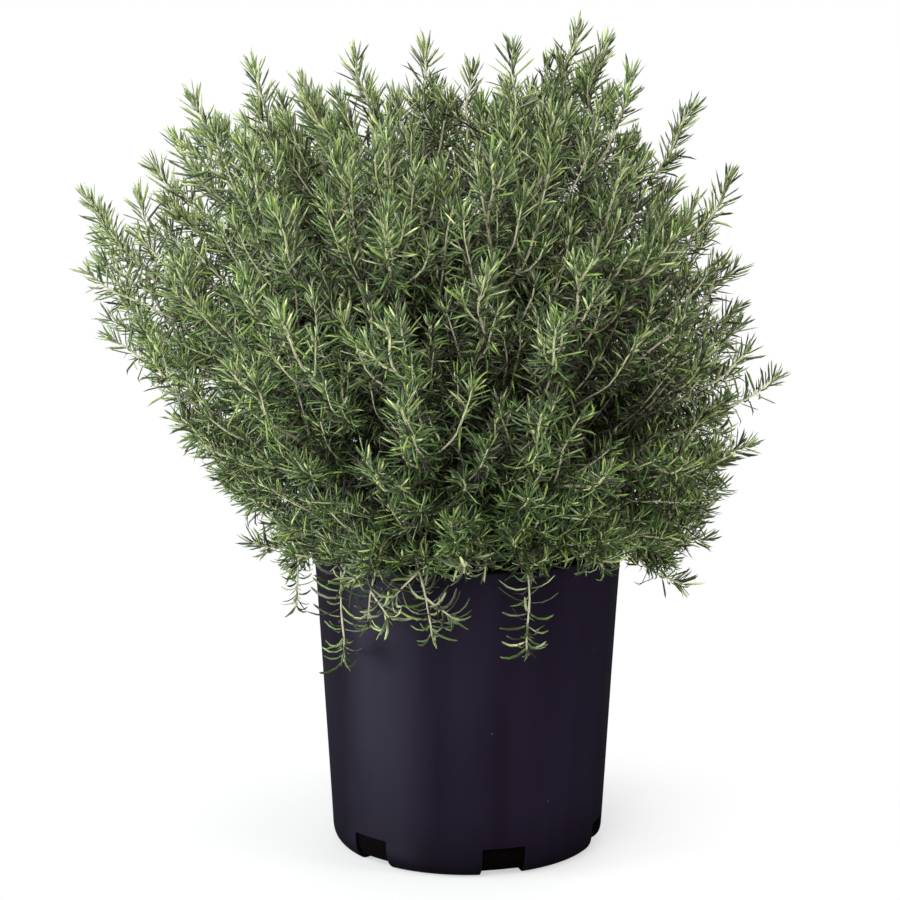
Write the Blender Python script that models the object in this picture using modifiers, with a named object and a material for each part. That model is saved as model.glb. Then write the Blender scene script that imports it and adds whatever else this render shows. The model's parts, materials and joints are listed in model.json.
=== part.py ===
"""A rosemary bush in a black nursery pot.

The pot is a turned shell with drainage slots in its lower corner. Potting mix
fills it. A short trunk stands in a plain hole in the mix and forks into woody
limbs. Leafy sprays sit on the limbs, each a main shoot with side shoots, and
their needles are raised from narrow bands of the stems' faces.

Metres, +Z up, the front toward -Y. The origin is on the pot's axis, at the
level of the floor that the pot stands on.
"""

import math

import bmesh
import bpy
import numpy as np
from mathutils.bvhtree import BVHTree

# The pot
POT_HEIGHT = 0.290
POT_FACETS = 32
LIP_RADIUS = 0.146
LIP_HEIGHT = 0.010
WALL_TOP_RADIUS = 0.1437
WALL_FOOT_RADIUS = 0.1283
FOOT_ROUNDING = 0.014
BASE_RADIUS = 0.114
WALL = 0.0020
FLOOR = 0.0025
SLOTS = 6
SLOT_WIDTH = 0.041
SLOT_TOP = 0.0285
SLOT_INNER_RADIUS = 0.104
FIRST_SLOT_TURN = 15.0

# The potting mix
MIX_TOP = 0.262
MIX_DOME = 0.004
MIX_ROUGHNESS = 0.0015
SEAT_GAP = 0.0003

# The trunk and its limbs
TRUNK_FOOT = 0.200
TRUNK_RADII = (0.0085, 0.0050)
TRUNK_LOW_FORK = 0.318
TRUNK_TOP = 0.385
LIMB_RADII = (0.0045, 0.0030)
LIMB_SHARE = 0.42
LIMB_STEP = 0.032

# The bush: how far its needles reach from its crown at each lean from upright,
# in degrees, and which of its tips show on its left and right outline
CROWN = np.array((0.0, 0.0, 0.305))
REACH_LEANS = (0, 20, 45, 60, 75, 90, 110)
REACHES = (0.425, 0.440, 0.400, 0.340, 0.275, 0.222, 0.195)
LOPSIDED = (0.09, -0.08)
LOPSIDED_LEANS = (60, 90)
OUTLINE_LEANS = (
    (-104, -94, -84, -76, -69, -62, -55, -48.6, -41.5, -37, -32, -25.5, -20.5, -13, -5.3)
    + (0, 5.4, 12.4, 15.6, 19.5, 28.4, 37.4, 45, 55, 65, 73, 84, 95, 104)
)
OUTLINE_REACHES = (
    (0.184, 0.212, 0.238, 0.256, 0.295, 0.365, 0.430, 0.474, 0.455, 0.460, 0.480, 0.481, 0.448, 0.459, 0.457)
    + (0.431, 0.457, 0.487, 0.475, 0.455, 0.450, 0.415, 0.355, 0.328, 0.330, 0.282, 0.254, 0.236, 0.218)
)
NEEDLES_PAST_TIP = 0.020
OUTLINE_DEPTHS = (0.015, -0.030, 0.040)
INNERMOST = 0.170
SHOOTS = 162
LIMB_SPLITS = (2, 3, 3)
SPRAY_PLACES = (1.0, 0.84, 0.66)
SEED = 7

# Shoots that hang over the front of the lip: where each crosses it, and its tip
HANGING_PLACE = 0.40
LEFT_HANGING = (
    ((-0.045, -0.155, 0.312), (-0.032, -0.172, 0.240)),
    ((-0.074, -0.144, 0.310), (-0.090, -0.156, 0.246)),
    ((-0.108, -0.122, 0.308), (-0.112, -0.128, 0.206)),
    ((-0.141, -0.090, 0.310), (-0.158, -0.078, 0.244)),
)
RIGHT_HANGING = (
    ((0.050, -0.156, 0.314), (0.052, -0.170, 0.226)),
    ((0.000, -0.165, 0.318), (-0.004, -0.205, 0.304)),
    ((0.095, -0.140, 0.316), (0.118, -0.172, 0.300)),
)
HANGING_FORKS = (0.0, 0.30, 0.18, 0.24)

# Shoots
STEP = 0.006
CLEAR = 0.0075
POT_CLEAR = 0.012
STRAIGHT = 0.007
FORK_ANGLE = 27
SHORTEST_SHOOT = 0.085
STEM_SIDES = 3
STEM_RADII = (0.0022, 0.0013)
SUNK_RADIUS = 0.0012
FORK_RING_BACK = 0.0025
BEND_TOLERANCE = 0.0018
BARE_BASE = 0.042
SIDE_BARE_BASE = 0.024
WHORLS = 11

# Needles
NEEDLE_LENGTH = 0.030
NEEDLE_SPREAD = (0.84, 1.06)
NEEDLE_BAND = 0.003
NEEDLE_LEANS = (58, 30)
NEEDLE_TRIES = ((1, 0), (0.8, 0.25), (0.8, -0.25), (1.2, 0.3), (1.2, -0.3), (0.6, 0))
TIP_SPIKE = 0.010
NEEDLE_GAP = 0.0006

# name of the material, colour (linear), roughness
MATERIALS = {
    "pot_plastic": ((0.014, 0.012, 0.018), 0.42),
    "potting_mix": ((0.045, 0.028, 0.018), 0.95),
    "branch_bark": ((0.200, 0.150, 0.105), 0.85),
    "rosemary_leaf": ((0.150, 0.200, 0.105), 0.60),
}


# Small helpers for directions and paths

def unit(v):
    """v, or each row of v, at length one"""
    v = np.asarray(v, float)
    return v / np.linalg.norm(v, axis=-1, keepdims=True)


def bezier(a, b, c, d, count):
    """count points along the curve with the ends a and d and the handles b and c"""
    t = np.linspace(0, 1, count)[:, None]
    return a * (1 - t) ** 3 + 3 * b * t * (1 - t) ** 2 + 3 * c * t * t * (1 - t) + d * t ** 3


def lengths_of(path):
    """the length along the path up to each of its points"""
    return np.concatenate([[0], np.cumsum(np.linalg.norm(np.diff(path, axis=0), axis=1))])


def points_at(path, places):
    """the points at these lengths along the path"""
    lengths = lengths_of(path)
    return np.stack([np.interp(places, lengths, path[:, k]) for k in range(3)], axis=-1)


def resampled(path, step):
    """the path with evenly spaced points, about a step apart"""
    length = lengths_of(path)[-1]
    count = max(3, int(round(length / step)) + 1)
    return points_at(path, np.linspace(0, length, count))


def smoothed(path):
    """the path with its kinks eased, its ends kept"""
    for _ in range(2):
        path = path.copy()
        path[1:-1] = 0.25 * path[:-2] + 0.5 * path[1:-1] + 0.25 * path[2:]
    return path


# The tips that the bush's shoots grow to

def reach(direction):
    """how far stems reach from the crown: farther at the left, low down at the right"""
    lean = math.degrees(math.acos(direction[2]))
    lopsided = np.interp(lean, LOPSIDED_LEANS, LOPSIDED)
    return np.interp(lean, REACH_LEANS, REACHES) * (1 - lopsided * direction[0]) - NEEDLES_PAST_TIP


def outline_tips():
    """tips on the bush's left and right outline, near the plane of its axis"""
    tips = []
    for number, (lean, far) in enumerate(zip(OUTLINE_LEANS, OUTLINE_REACHES)):
        a = math.radians(lean)
        far = far - NEEDLES_PAST_TIP
        depth = OUTLINE_DEPTHS[number % len(OUTLINE_DEPTHS)]
        tips.append(CROWN + (far * math.sin(a), depth, far * math.cos(a)))
    return tips


def drawn_tip(rng):
    """a tip drawn anywhere in the bush's outer shell; higher above the front"""
    turn = rng.uniform(0, 2 * math.pi)
    lowest = math.radians(106 - 18 * max(0.0, -math.sin(turn)))
    height = rng.uniform(math.cos(lowest), 1)
    flat = math.sqrt(1 - height * height)
    direction = np.array((flat * math.cos(turn), flat * math.sin(turn), height))
    far = reach(direction)
    return CROWN + direction * (far - (far - INNERMOST) * 0.62 * rng.uniform() ** 1.6)


def all_tips(rng):
    """the outline's tips and others among them, as evenly spread as they fit"""
    tips = outline_tips()
    spacing = 0.085
    while len(tips) < SHOOTS:
        for _ in range(300):
            tip = drawn_tip(rng)
            if len(tips) < SHOOTS and min(np.linalg.norm(tip - t) for t in tips) >= spacing:
                tips.append(tip)
        spacing *= 0.95
    return np.array(tips)


def tip_way(tip):
    """the direction in which a shoot ends: outward, turned toward upright"""
    out = unit(tip - CROWN)
    lean = math.degrees(math.acos(out[2]))
    lift = np.interp(lean, (0, 50, 80, 105), (0.25, 0.42, 0.32, 0.08)) - 0.2 * out[0]
    return unit(out * (1 - lift) + np.array((0, 0, lift)))


def divided(members, ways, splits):
    """members in equal groups, split again and again across their widest spread"""
    if not splits:
        return [members]
    axis = np.argmax(np.ptp(ways[members], axis=0))
    order = members[np.argsort(ways[members, axis], kind="stable")]
    groups = []
    for part in np.array_split(order, splits[0]):
        groups += divided(part, ways, splits[1:])
    return groups


# Paths of limbs and shoots

def off_pot(path):
    """the path lifted over the lip or pushed out from the wall where it is too near"""
    path = path.copy()
    flat = np.linalg.norm(path[:, :2], axis=1)
    top = POT_HEIGHT + POT_CLEAR
    side = LIP_RADIUS + POT_CLEAR
    near = (flat > 0.10) & (flat < side) & (path[:, 2] < top)
    lift = near & (top - path[:, 2] <= (side - flat) * 1.5)
    path[lift, 2] = top
    push = near & ~lift
    path[push, :2] *= (side / flat[push])[:, None]
    return path


def bowed(start, way, end, end_way, straight, bow):
    """a curve from start to end that bows out sideways by bow; its first part
    is straight, so that a stem's flat end sits square on what it grows from"""
    first = start + way * straight
    span = np.linalg.norm(end - first)
    pull = 0.16 if straight else 0.33
    path = bezier(first, first + way * span * pull, end - end_way * span * 0.36, end, 24)
    t = np.linspace(0, 1, 24)[:, None]
    path = path + bow * np.sin(math.pi * t) ** 1.5
    path = resampled(off_pot(smoothed(off_pot(path))), STEP)
    return np.concatenate([[start], path]) if straight else path


def clear_path(start, way, end, end_way, others, free, straight):
    """the straightest of a set of bowed paths that keeps clear of the others"""
    along = unit(end - start)
    side = unit(np.cross(along, (0.31, 0.17, 0.93)))
    over = np.cross(side, along)
    best, widest = None, -1
    for size in (0, 0.012, 0.024, 0.038):
        for turn in range(8 if size else 1):
            a = turn * math.pi / 4
            bow = size * (math.cos(a) * side + math.sin(a) * over)
            path = bowed(start, way, end, end_way, straight, bow)
            rest = path[np.linalg.norm(path - start, axis=1) > free]
            gap = np.linalg.norm(rest[:, None] - others[None], axis=-1).min() if len(rest) else 1.0
            if gap > widest:
                best, widest = path, gap
            if gap >= CLEAR:
                return path
    return best


def fork_of(main, tip):
    """where on the main shoot the side shoot to this tip forks off"""
    ks = np.arange(max(int(0.16 * len(main)), 2), int(0.62 * len(main)))
    to_tip = tip - main[ks]
    heading = unit(main[ks + 1] - main[ks - 1])
    angle = np.degrees(np.arccos(np.clip((heading * unit(to_tip)).sum(1), -1, 1)))
    missing = np.clip(SHORTEST_SHOOT - np.linalg.norm(to_tip, axis=1), 0, None)
    return int(ks[np.argmin(np.abs(angle - FORK_ANGLE) + missing * 2000)])


def limb_path(tips):
    """a limb from the trunk to where the stems to these tips divide"""
    middle = tips.mean(axis=0)
    way = unit(middle - CROWN)
    rise = max(way[2], 0.0)
    root = np.array((0, 0, TRUNK_LOW_FORK + (TRUNK_TOP - TRUNK_LOW_FORK) * rise))
    end = CROWN + (middle - CROWN) * LIMB_SHARE + (0, 0, 0.035 * (1 - rise))
    out = unit(way + (0, 0, 0.25))
    path = bezier(root, root + out * 0.04, end - way * 0.04, end, 16)
    return resampled(path, LIMB_STEP)


def seat_on(limb, place, aim):
    """start and direction of a spray at this place of the limb: at its end
    onward, elsewhere square to the limb toward aim"""
    length = lengths_of(limb)[-1]
    if place == 1.0:
        way = unit(limb[-1] - limb[-2])
        return limb[-1] + way * SEAT_GAP, way
    before, point, after = points_at(limb, length * np.array((place - 0.03, place, place + 0.03)))
    along = unit(after - before)
    off = aim - point
    way = unit(off - along * (off @ along))
    radius = np.interp(place, (0, 1), LIMB_RADII)
    return point + way * (radius + SEAT_GAP), way


def hanging_path(start, way, over, tip, straight):
    """a shoot that crosses the lip at over and hangs down to its tip"""
    out = unit(over * (1, 1, 0))
    begin = start + way * straight
    first = bezier(begin, begin + way * 0.03, over - out * 0.035, over, 16)
    fall = np.linalg.norm(tip - over)
    down = unit(tip - over - (0, 0, 0.05))
    second = bezier(over, over + out * 0.018, tip - down * 0.4 * fall, tip, 16)
    path = resampled(np.concatenate([first, second[1:]]), STEP)
    return np.concatenate([[start], path]) if straight else path


def hanging_spray(limb, rows):
    """the shoots of a spray that hangs over the lip, each with its place on the first"""
    start, way = seat_on(limb, HANGING_PLACE, np.array(rows[0][0]))
    shoots = []
    for (over, tip), share in zip(rows, HANGING_FORKS):
        k = 0
        if shoots:
            main = shoots[0][0]
            k = int(share * (len(main) - 1))
            start, way = main[k], unit(main[k + 1] - main[k])
        shoots.append((hanging_path(start, way, np.array(over), np.array(tip), 0 if k else STRAIGHT), k))
    return shoots


def upright_spray(limb, place, tips, others):
    """the shoots of a spray to these tips: a main one to the farthest, forks to the rest"""
    start, way = seat_on(limb, place, tips.mean(axis=0))
    tips = tips[np.argsort(-np.linalg.norm(tips - start, axis=1))]
    main = clear_path(start, way, tips[0], tip_way(tips[0]), others, 0.016, STRAIGHT)
    shoots = [(main, 0)]
    for tip in tips[1:]:
        k = fork_of(main, tip)
        way = unit(unit(main[k + 1] - main[k]) + 0.8 * unit(tip - main[k]))
        shoots.append((clear_path(main[k], way, tip, tip_way(tip), others, 0.0, 0), k))
    return shoots


def nearest_limb(limbs, spot):
    """the limb whose end is nearest to the spot"""
    return min(limbs, key=lambda limb: np.linalg.norm(limb[-1] - np.array(spot)))


def grown():
    """the limbs' paths, and for each spray its limb's number and its shoots"""
    tips = all_tips(np.random.default_rng(SEED))
    ways = unit(tips - CROWN)
    cells = divided(np.arange(SHOOTS), ways, LIMB_SPLITS)
    limbs = [limb_path(tips[cell]) for cell in cells]
    taken = [resampled(limb, STEP) for limb in limbs]
    sprays = []
    for spot, rows in (((-0.05, -0.08, 0.34), LEFT_HANGING), ((0.05, -0.08, 0.34), RIGHT_HANGING)):
        sprays.append(hanging_spray(nearest_limb(limbs, spot), rows))
        taken += [path for path, _ in sprays[-1]]
    for limb, cell in zip(limbs, cells):
        onward = unit(limb[-1] - limb[-2])
        groups = divided(cell, ways, (len(SPRAY_PLACES),))
        groups.sort(key=lambda g: -float(unit(tips[g].mean(axis=0) - limb[-1]) @ onward))
        for place, group in zip(SPRAY_PLACES, groups):
            sprays.append(upright_spray(limb, place, tips[group], np.concatenate(taken)))
            taken += [path for path, _ in sprays[-1]]
    return limbs, sprays


# Needles: where they stand and which way they point

def frames(path):
    """at each point of the path its heading and two directions square to it,
    carried along without turning about the path"""
    headings = unit(np.gradient(path, axis=0))
    side = unit(np.cross(headings[0], (0.36, 0.48, 0.80)))
    sides = []
    for heading in headings:
        side = unit(side - heading * (side @ heading))
        sides.append(side)
    sides = np.array(sides)
    return headings, sides, np.cross(headings, sides)


class Shoot:
    """a stem's path with its radius, and the places of its whorls of needles"""

    def __init__(self, path, fork):
        self.path, self.fork = path, fork
        self.length = lengths_of(path)[-1]
        self.frames = frames(path)
        self.bare = BARE_BASE if fork == 0 else SIDE_BARE_BASE
        self.whorls = []
        self.forks = []

    def radius(self, place):
        return np.interp(place / self.length, (0, 1), STEM_RADII)

    def frame(self, place):
        """point, heading and two side directions at this length along the stem"""
        point = points_at(self.path, place)
        k = np.interp(place, lengths_of(self.path), np.arange(len(self.path)))
        low = min(int(k), len(self.path) - 2)
        mix = k - low
        return [point] + [unit(f[low] * (1 - mix) + f[low + 1] * mix) for f in self.frames]

    def share_whorls(self, count):
        ends = (self.bare, self.length - 0.004)
        self.places = np.linspace(*ends, count) if count > 1 else np.array(ends[1:])


def segment_gaps(a, b, c, d):
    """closest distance of the segment a-b to each segment c-d, and where on each"""
    u, v, w = b - a, d - c, a - c
    uu, uv, vv = u @ u, v @ u, (v * v).sum(1)
    uw, vw = w @ u, (v * w).sum(1)
    den = np.maximum(uu * vv - uv * uv, 1e-12)
    s = np.clip((uv * vw - vv * uw) / den, 0, 1)
    t = np.clip((s * uv + vw) / np.maximum(vv, 1e-12), 0, 1)
    s = np.clip((t * uv - uw) / uu, 0, 1)
    gap = np.linalg.norm(a + s[:, None] * u - c - t[:, None] * v, axis=1)
    return gap, s, t


def in_pot(points):
    """whether any of the points is in the pot's wall or lip, or in the mix"""
    flat = np.linalg.norm(points[:, :2], axis=1)
    high = points[:, 2]
    in_side = (flat < LIP_RADIUS + 0.002) & (high < POT_HEIGHT + 0.002)
    in_mouth = (flat < WALL_TOP_RADIUS - 0.006) & (high > MIX_TOP + MIX_DOME + 0.003)
    return bool((in_side & ~in_mouth).any())


class Crowd:
    """every stem and needle so far, to keep a new needle clear of them"""

    def __init__(self, limbs, shoots):
        stems = [(limb, np.full(len(limb), LIMB_RADII[0]), -1) for limb in limbs]
        stems += [(s.path, s.radius(lengths_of(s.path)), k) for k, s in enumerate(shoots)]
        self.start = np.concatenate([path[:-1] for path, _, _ in stems])
        self.end = np.concatenate([path[1:] for path, _, _ in stems])
        self.radius = np.concatenate([radius[:-1] for _, radius, _ in stems])
        self.owner = np.concatenate([np.full(len(path) - 1, k) for path, _, k in stems])
        self.along = np.concatenate([lengths_of(path)[:-1] for path, _, _ in stems])
        self.roots = np.zeros((0, 3))
        self.tips = np.zeros((0, 3))
        self.whorls = []

    def room_for(self, root, tip, number, place):
        """whether a needle of this whorl, from root to tip, keeps clear of the rest"""
        if in_pot(root + (tip - root) * np.linspace(0.2, 1, 6)[:, None]):
            return False
        middle = (root + tip) / 2
        near = np.linalg.norm(self.start - middle, axis=1) < NEEDLE_LENGTH
        near &= (self.owner != number) | (np.abs(self.along - place) > 0.012)
        gap, s, _ = segment_gaps(root, tip, self.start[near], self.end[near])
        if (gap < self.radius[near] + STEM_RADII[0] * (1 - s) + NEEDLE_GAP).any():
            return False
        near = np.linalg.norm((self.roots + self.tips) / 2 - middle, axis=1) < NEEDLE_LENGTH * 1.2
        near &= np.array([whorl != (number, place) for whorl in self.whorls], bool)
        gap, s, t = segment_gaps(root, tip, self.roots[near], self.tips[near])
        return not (gap < STEM_RADII[0] * (2 - s - t) + NEEDLE_GAP).any()

    def add(self, root, tip, number, place):
        self.roots = np.vstack([self.roots, root])
        self.tips = np.vstack([self.tips, tip])
        self.whorls.append((number, place))


def needle_tip(root, heading, out, share, length, lean_by, swing):
    """the tip of a needle that leans out from the stem, less near the stem's end"""
    lean = math.radians(np.interp(share, (0, 1), NEEDLE_LEANS) * lean_by)
    out = unit(out + np.cross(heading, out) * swing)
    return root + (heading * math.cos(lean) + out * math.sin(lean)) * length


def fitting_tip(crowd, shoot, number, place, turn, length):
    """a needle's tip at this place and turn of the stem, tried at a few leans
    until it keeps clear of the rest, or None"""
    point, heading, side, over = shoot.frame(place)
    out = math.cos(turn) * side + math.sin(turn) * over
    root = point + out * shoot.radius(place) * 0.5
    share = (place - shoot.bare) / (shoot.length - shoot.bare)
    for lean_by, swing in NEEDLE_TRIES:
        tip = needle_tip(root, heading, out, share, length, lean_by, swing)
        if crowd.room_for(root, tip, number, place):
            crowd.add(root, tip, number, place)
            return tip
    return None


def place_needles(shoots, limbs):
    """fills each shoot's whorls with (place, turn, tips), a tip None where none fits"""
    rng = np.random.default_rng(SEED + 1)
    crowd = Crowd(limbs, shoots)
    for number, shoot in enumerate(shoots):
        for count, place in enumerate(shoot.places):
            turn = count * math.pi / STEM_SIDES
            tips = []
            for k in range(STEM_SIDES):
                face_turn = turn + (2 * k + 1) * math.pi / STEM_SIDES
                length = NEEDLE_LENGTH * rng.uniform(*NEEDLE_SPREAD)
                tips.append(fitting_tip(crowd, shoot, number, place, face_turn, length))
            shoot.whorls.append((place, turn, tips))


# Building with meshes

def clear_scene():
    for piece in list(bpy.data.objects):
        bpy.data.objects.remove(piece, do_unlink=True)


def new_collection(name):
    collection = bpy.data.collections.new(name)
    bpy.context.scene.collection.children.link(collection)
    return collection


def material(name):
    colour, roughness = MATERIALS[name]
    made = bpy.data.materials.new(name)
    made.use_nodes = True
    shader = made.node_tree.nodes["Principled BSDF"]
    shader.inputs["Base Color"].default_value = (*colour, 1)
    shader.inputs["Roughness"].default_value = roughness
    shader.inputs["Metallic"].default_value = 0
    return made


def new_piece(name, mesh, collection):
    piece = bpy.data.objects.new(name, mesh)
    collection.objects.link(piece)
    return piece


def take_evaluated(piece):
    """gives the piece the mesh that its modifiers make, and drops them"""
    bpy.context.view_layer.update()
    seen = piece.evaluated_get(bpy.context.evaluated_depsgraph_get())
    mesh = bpy.data.meshes.new_from_object(seen)
    piece.modifiers.clear()
    piece.data = mesh


def remove_pieces(pieces):
    for piece in list(pieces):
        bpy.data.objects.remove(piece, do_unlink=True)


def boolean(piece, operation, cutter=None, collection=None):
    cut = piece.modifiers.new(operation.lower(), "BOOLEAN")
    cut.operation = operation
    cut.solver = "EXACT"
    if collection:
        cut.operand_type = "COLLECTION"
        cut.collection = collection
    else:
        cut.object = cutter


def turned(name, profile, collection):
    """a closed profile of (radius, height), down its outer side first, turned
    about Z; it is left open between its two points on the axis"""
    mesh = bpy.data.meshes.new(name)
    count = len(profile)
    edges = [(k, (k + 1) % count) for k in range(count)]
    edges = [(a, b) for a, b in edges if profile[a][0] > 0 or profile[b][0] > 0]
    mesh.from_pydata([(r, 0, z) for r, z in profile], edges, [])
    piece = new_piece(name, mesh, collection)
    screw = piece.modifiers.new("turn", "SCREW")
    screw.steps = screw.render_steps = POT_FACETS
    screw.use_merge_vertices = True
    screw.merge_threshold = 0.00005
    take_evaluated(piece)
    return piece


def tube(name, points, radii, sides, collection):
    """a straight-sided tube through the points, as a closed mesh"""
    curve = bpy.data.curves.new(name, "CURVE")
    curve.dimensions = "3D"
    curve.bevel_depth = 1.0
    curve.bevel_resolution = sides // 2 - 2
    curve.use_fill_caps = True
    spline = curve.splines.new("POLY")
    spline.points.add(len(points) - 1)
    for point, place, radius in zip(spline.points, points, radii):
        point.co = (*place, 1)
        point.radius = radius
    source = new_piece(name + "_curve", curve, collection)
    bpy.context.view_layer.update()
    seen = source.evaluated_get(bpy.context.evaluated_depsgraph_get())
    mesh = bpy.data.meshes.new_from_object(seen)
    bpy.data.objects.remove(source, do_unlink=True)
    weld(mesh)
    return new_piece(name, mesh, collection)


def weld(mesh):
    bm = bmesh.new()
    bm.from_mesh(mesh)
    bmesh.ops.remove_doubles(bm, verts=bm.verts, dist=0.00002)
    bmesh.ops.recalc_face_normals(bm, faces=bm.faces)
    bm.to_mesh(mesh)
    bm.free()


# The pot and what fills it

def wall_radius(height):
    """the wall's outer radius between its foot and the lip"""
    heights = (FOOT_ROUNDING, POT_HEIGHT - LIP_HEIGHT)
    return float(np.interp(height, heights, (WALL_FOOT_RADIUS, WALL_TOP_RADIUS)))


def outer_profile():
    """down the outside of the pot to the middle of its flat base"""
    under_lip = POT_HEIGHT - LIP_HEIGHT
    return [
        (LIP_RADIUS - 0.0012, POT_HEIGHT),
        (LIP_RADIUS, POT_HEIGHT - 0.0015),
        (LIP_RADIUS, under_lip),
        (wall_radius(under_lip) - 0.0002, under_lip - 0.0020),
        (WALL_FOOT_RADIUS, FOOT_ROUNDING),
        (WALL_FOOT_RADIUS - 0.0040, FOOT_ROUNDING * 0.33),
        (BASE_RADIUS, 0.0),
        (0.0, 0.0),
    ]


def inner_profile(inset):
    """up the inside of the pot, moved in by inset, from the axis to the wall's top"""
    return [
        (0.0, FLOOR + inset),
        (BASE_RADIUS - 0.0005 - inset, FLOOR + inset),
        (WALL_FOOT_RADIUS - 0.0058 - inset, FOOT_ROUNDING * 0.45 + inset * 0.5),
        (WALL_FOOT_RADIUS - WALL - inset, FOOT_ROUNDING + 0.0005),
    ]


def build_pot(collection, cutters):
    inner = inner_profile(0.0) + [(LIP_RADIUS - WALL - 0.0022, POT_HEIGHT)]
    pot = turned("pot", outer_profile() + inner, collection)
    for number in range(SLOTS):
        turn = math.radians(FIRST_SLOT_TURN - 90 + number * 360 / SLOTS)
        mesh = bpy.data.meshes.new("slot_cutter")
        bm = bmesh.new()
        bmesh.ops.create_cube(bm, size=1)
        bm.to_mesh(mesh)
        bm.free()
        depth = LIP_RADIUS - SLOT_INNER_RADIUS
        cutter = new_piece(f"slot_cutter_{number + 1}", mesh, cutters)
        cutter.scale = (depth, SLOT_WIDTH, SLOT_TOP * 2)
        middle = SLOT_INNER_RADIUS + depth / 2
        cutter.location = (middle * math.cos(turn), middle * math.sin(turn), 0)
        cutter.rotation_euler = (0, 0, turn)
        cutter.hide_render = True
        cutter.display_type = "WIRE"
    boolean(pot, "DIFFERENCE", collection=cutters)
    take_evaluated(pot)
    pot.data.shade_smooth()
    pot.data.set_sharp_from_angle(angle=math.radians(35))
    return pot


def build_mix(collection, cutters):
    edge = LIP_RADIUS - WALL - 0.0022
    foot = (WALL_FOOT_RADIUS - WALL, FOOT_ROUNDING + 0.0005)
    share = (MIX_TOP - foot[1]) / (POT_HEIGHT - foot[1])
    rim = (foot[0] + (edge - foot[0]) * share - SEAT_GAP * 1.2, MIX_TOP)
    top = [(0.0, MIX_TOP + MIX_DOME), (0.045, MIX_TOP + MIX_DOME * 0.8), (0.095, MIX_TOP + MIX_DOME * 0.4)]
    profile = top + [rim] + inner_profile(SEAT_GAP * 1.2)[::-1]
    mix = turned("potting_mix", profile, collection)
    rng = np.random.default_rng(SEED + 2)
    for vertex in mix.data.vertices:
        flat = math.hypot(vertex.co.x, vertex.co.y)
        if vertex.co.z > MIX_TOP and flat < 0.12:
            vertex.co.z += rng.uniform(-1, 1) * MIX_ROUGHNESS
    foot_at = TRUNK_FOOT - SEAT_GAP
    hole = tube("trunk_hole", [(0, 0, foot_at), (0, 0, 0.3)], [TRUNK_RADII[0] + SEAT_GAP] * 2, 8, cutters)
    hole.hide_render = True
    hole.display_type = "WIRE"
    boolean(mix, "DIFFERENCE", cutter=hole)
    take_evaluated(mix)
    return mix


# The woody frame

def build_woody(limbs, collection, helpers):
    low, high = TRUNK_RADII
    points = [(0, 0, TRUNK_FOOT), (0, 0, 0.285), (0, 0, TRUNK_LOW_FORK), (0, 0, TRUNK_TOP + 0.004)]
    trunk = tube("woody_branches", points, [low, low, low * 0.9, high], 8, collection)
    for number, limb in enumerate(limbs):
        radii = np.linspace(*LIMB_RADII, len(limb))
        tube(f"limb_{number + 1}", limb, radii, 6, helpers)
    boolean(trunk, "UNION", collection=helpers)
    take_evaluated(trunk)
    remove_pieces(helpers.objects)
    trunk.data.shade_smooth()
    trunk.data.set_sharp_from_angle(angle=math.radians(60))
    return trunk


# Leafy sprays

def ring_points(shoot, place, turn, radius):
    point, _, side, over = shoot.frame(place)
    angles = turn + np.arange(STEM_SIDES) * 2 * math.pi / STEM_SIDES
    return point + radius * (np.cos(angles)[:, None] * side + np.sin(angles)[:, None] * over)


def add_ring(bm, cap, points):
    """draws the stem's end face out to a new ring, and returns the new end face"""
    cap = bmesh.ops.extrude_discrete_faces(bm, faces=[cap])["faces"][0]
    for vertex, point in zip(cap.verts, points):
        vertex.co = point
    return cap


def raise_needles(bm, cap, tips):
    """pokes the faces under the new ring and draws each one's middle to a tip"""
    for edge, tip in zip(list(cap.edges), tips):
        if tip is None:
            continue
        face = next(f for f in edge.link_faces if f is not cap)
        middle = bmesh.ops.poke(bm, faces=[face])["verts"][0]
        middle.co = tip


def bends(shoot, low, high):
    """places between two rings where the stem strays from the straight line"""
    places = np.linspace(low, high, 9)
    points = points_at(shoot.path, places)
    straight = points[0] + (points[-1] - points[0]) * np.linspace(0, 1, 9)[:, None]
    stray = np.linalg.norm(points - straight, axis=1)
    k = int(stray.argmax())
    if stray[k] < BEND_TOLERANCE:
        return []
    return bends(shoot, low, places[k]) + [places[k]] + bends(shoot, places[k], high)


def plain_rings(shoot, low, high):
    """places of rings with no needles between two rings: at bends and at forks"""
    forks = [f for f in shoot.forks if low + NEEDLE_BAND < f < high - NEEDLE_BAND]
    stops = [low] + sorted(forks) + [high]
    places = list(forks)
    for start, end in zip(stops, stops[1:]):
        places += bends(shoot, start, end)
    return sorted(places)


def add_stem(bm, cap, shoot, low, high, turns):
    """the stem between two rings, its faces turning evenly from one to the next"""
    for place in plain_rings(shoot, low, high) + [high]:
        turn = np.interp(place, (low, high), turns)
        below = list(cap.verts)
        cap = add_ring(bm, cap, ring_points(shoot, place, turn, shoot.radius(place)))
        split_sides(below, list(cap.verts))
    return cap


def split_sides(below, above):
    """splits the faces between two rings where that keeps a turned stem full"""
    for k, vertex in enumerate(above):
        other = below[(k + 1) % STEM_SIDES]
        face = next(f for f in vertex.link_faces if other in f.verts)
        bmesh.utils.face_split(face, other, vertex)


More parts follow.
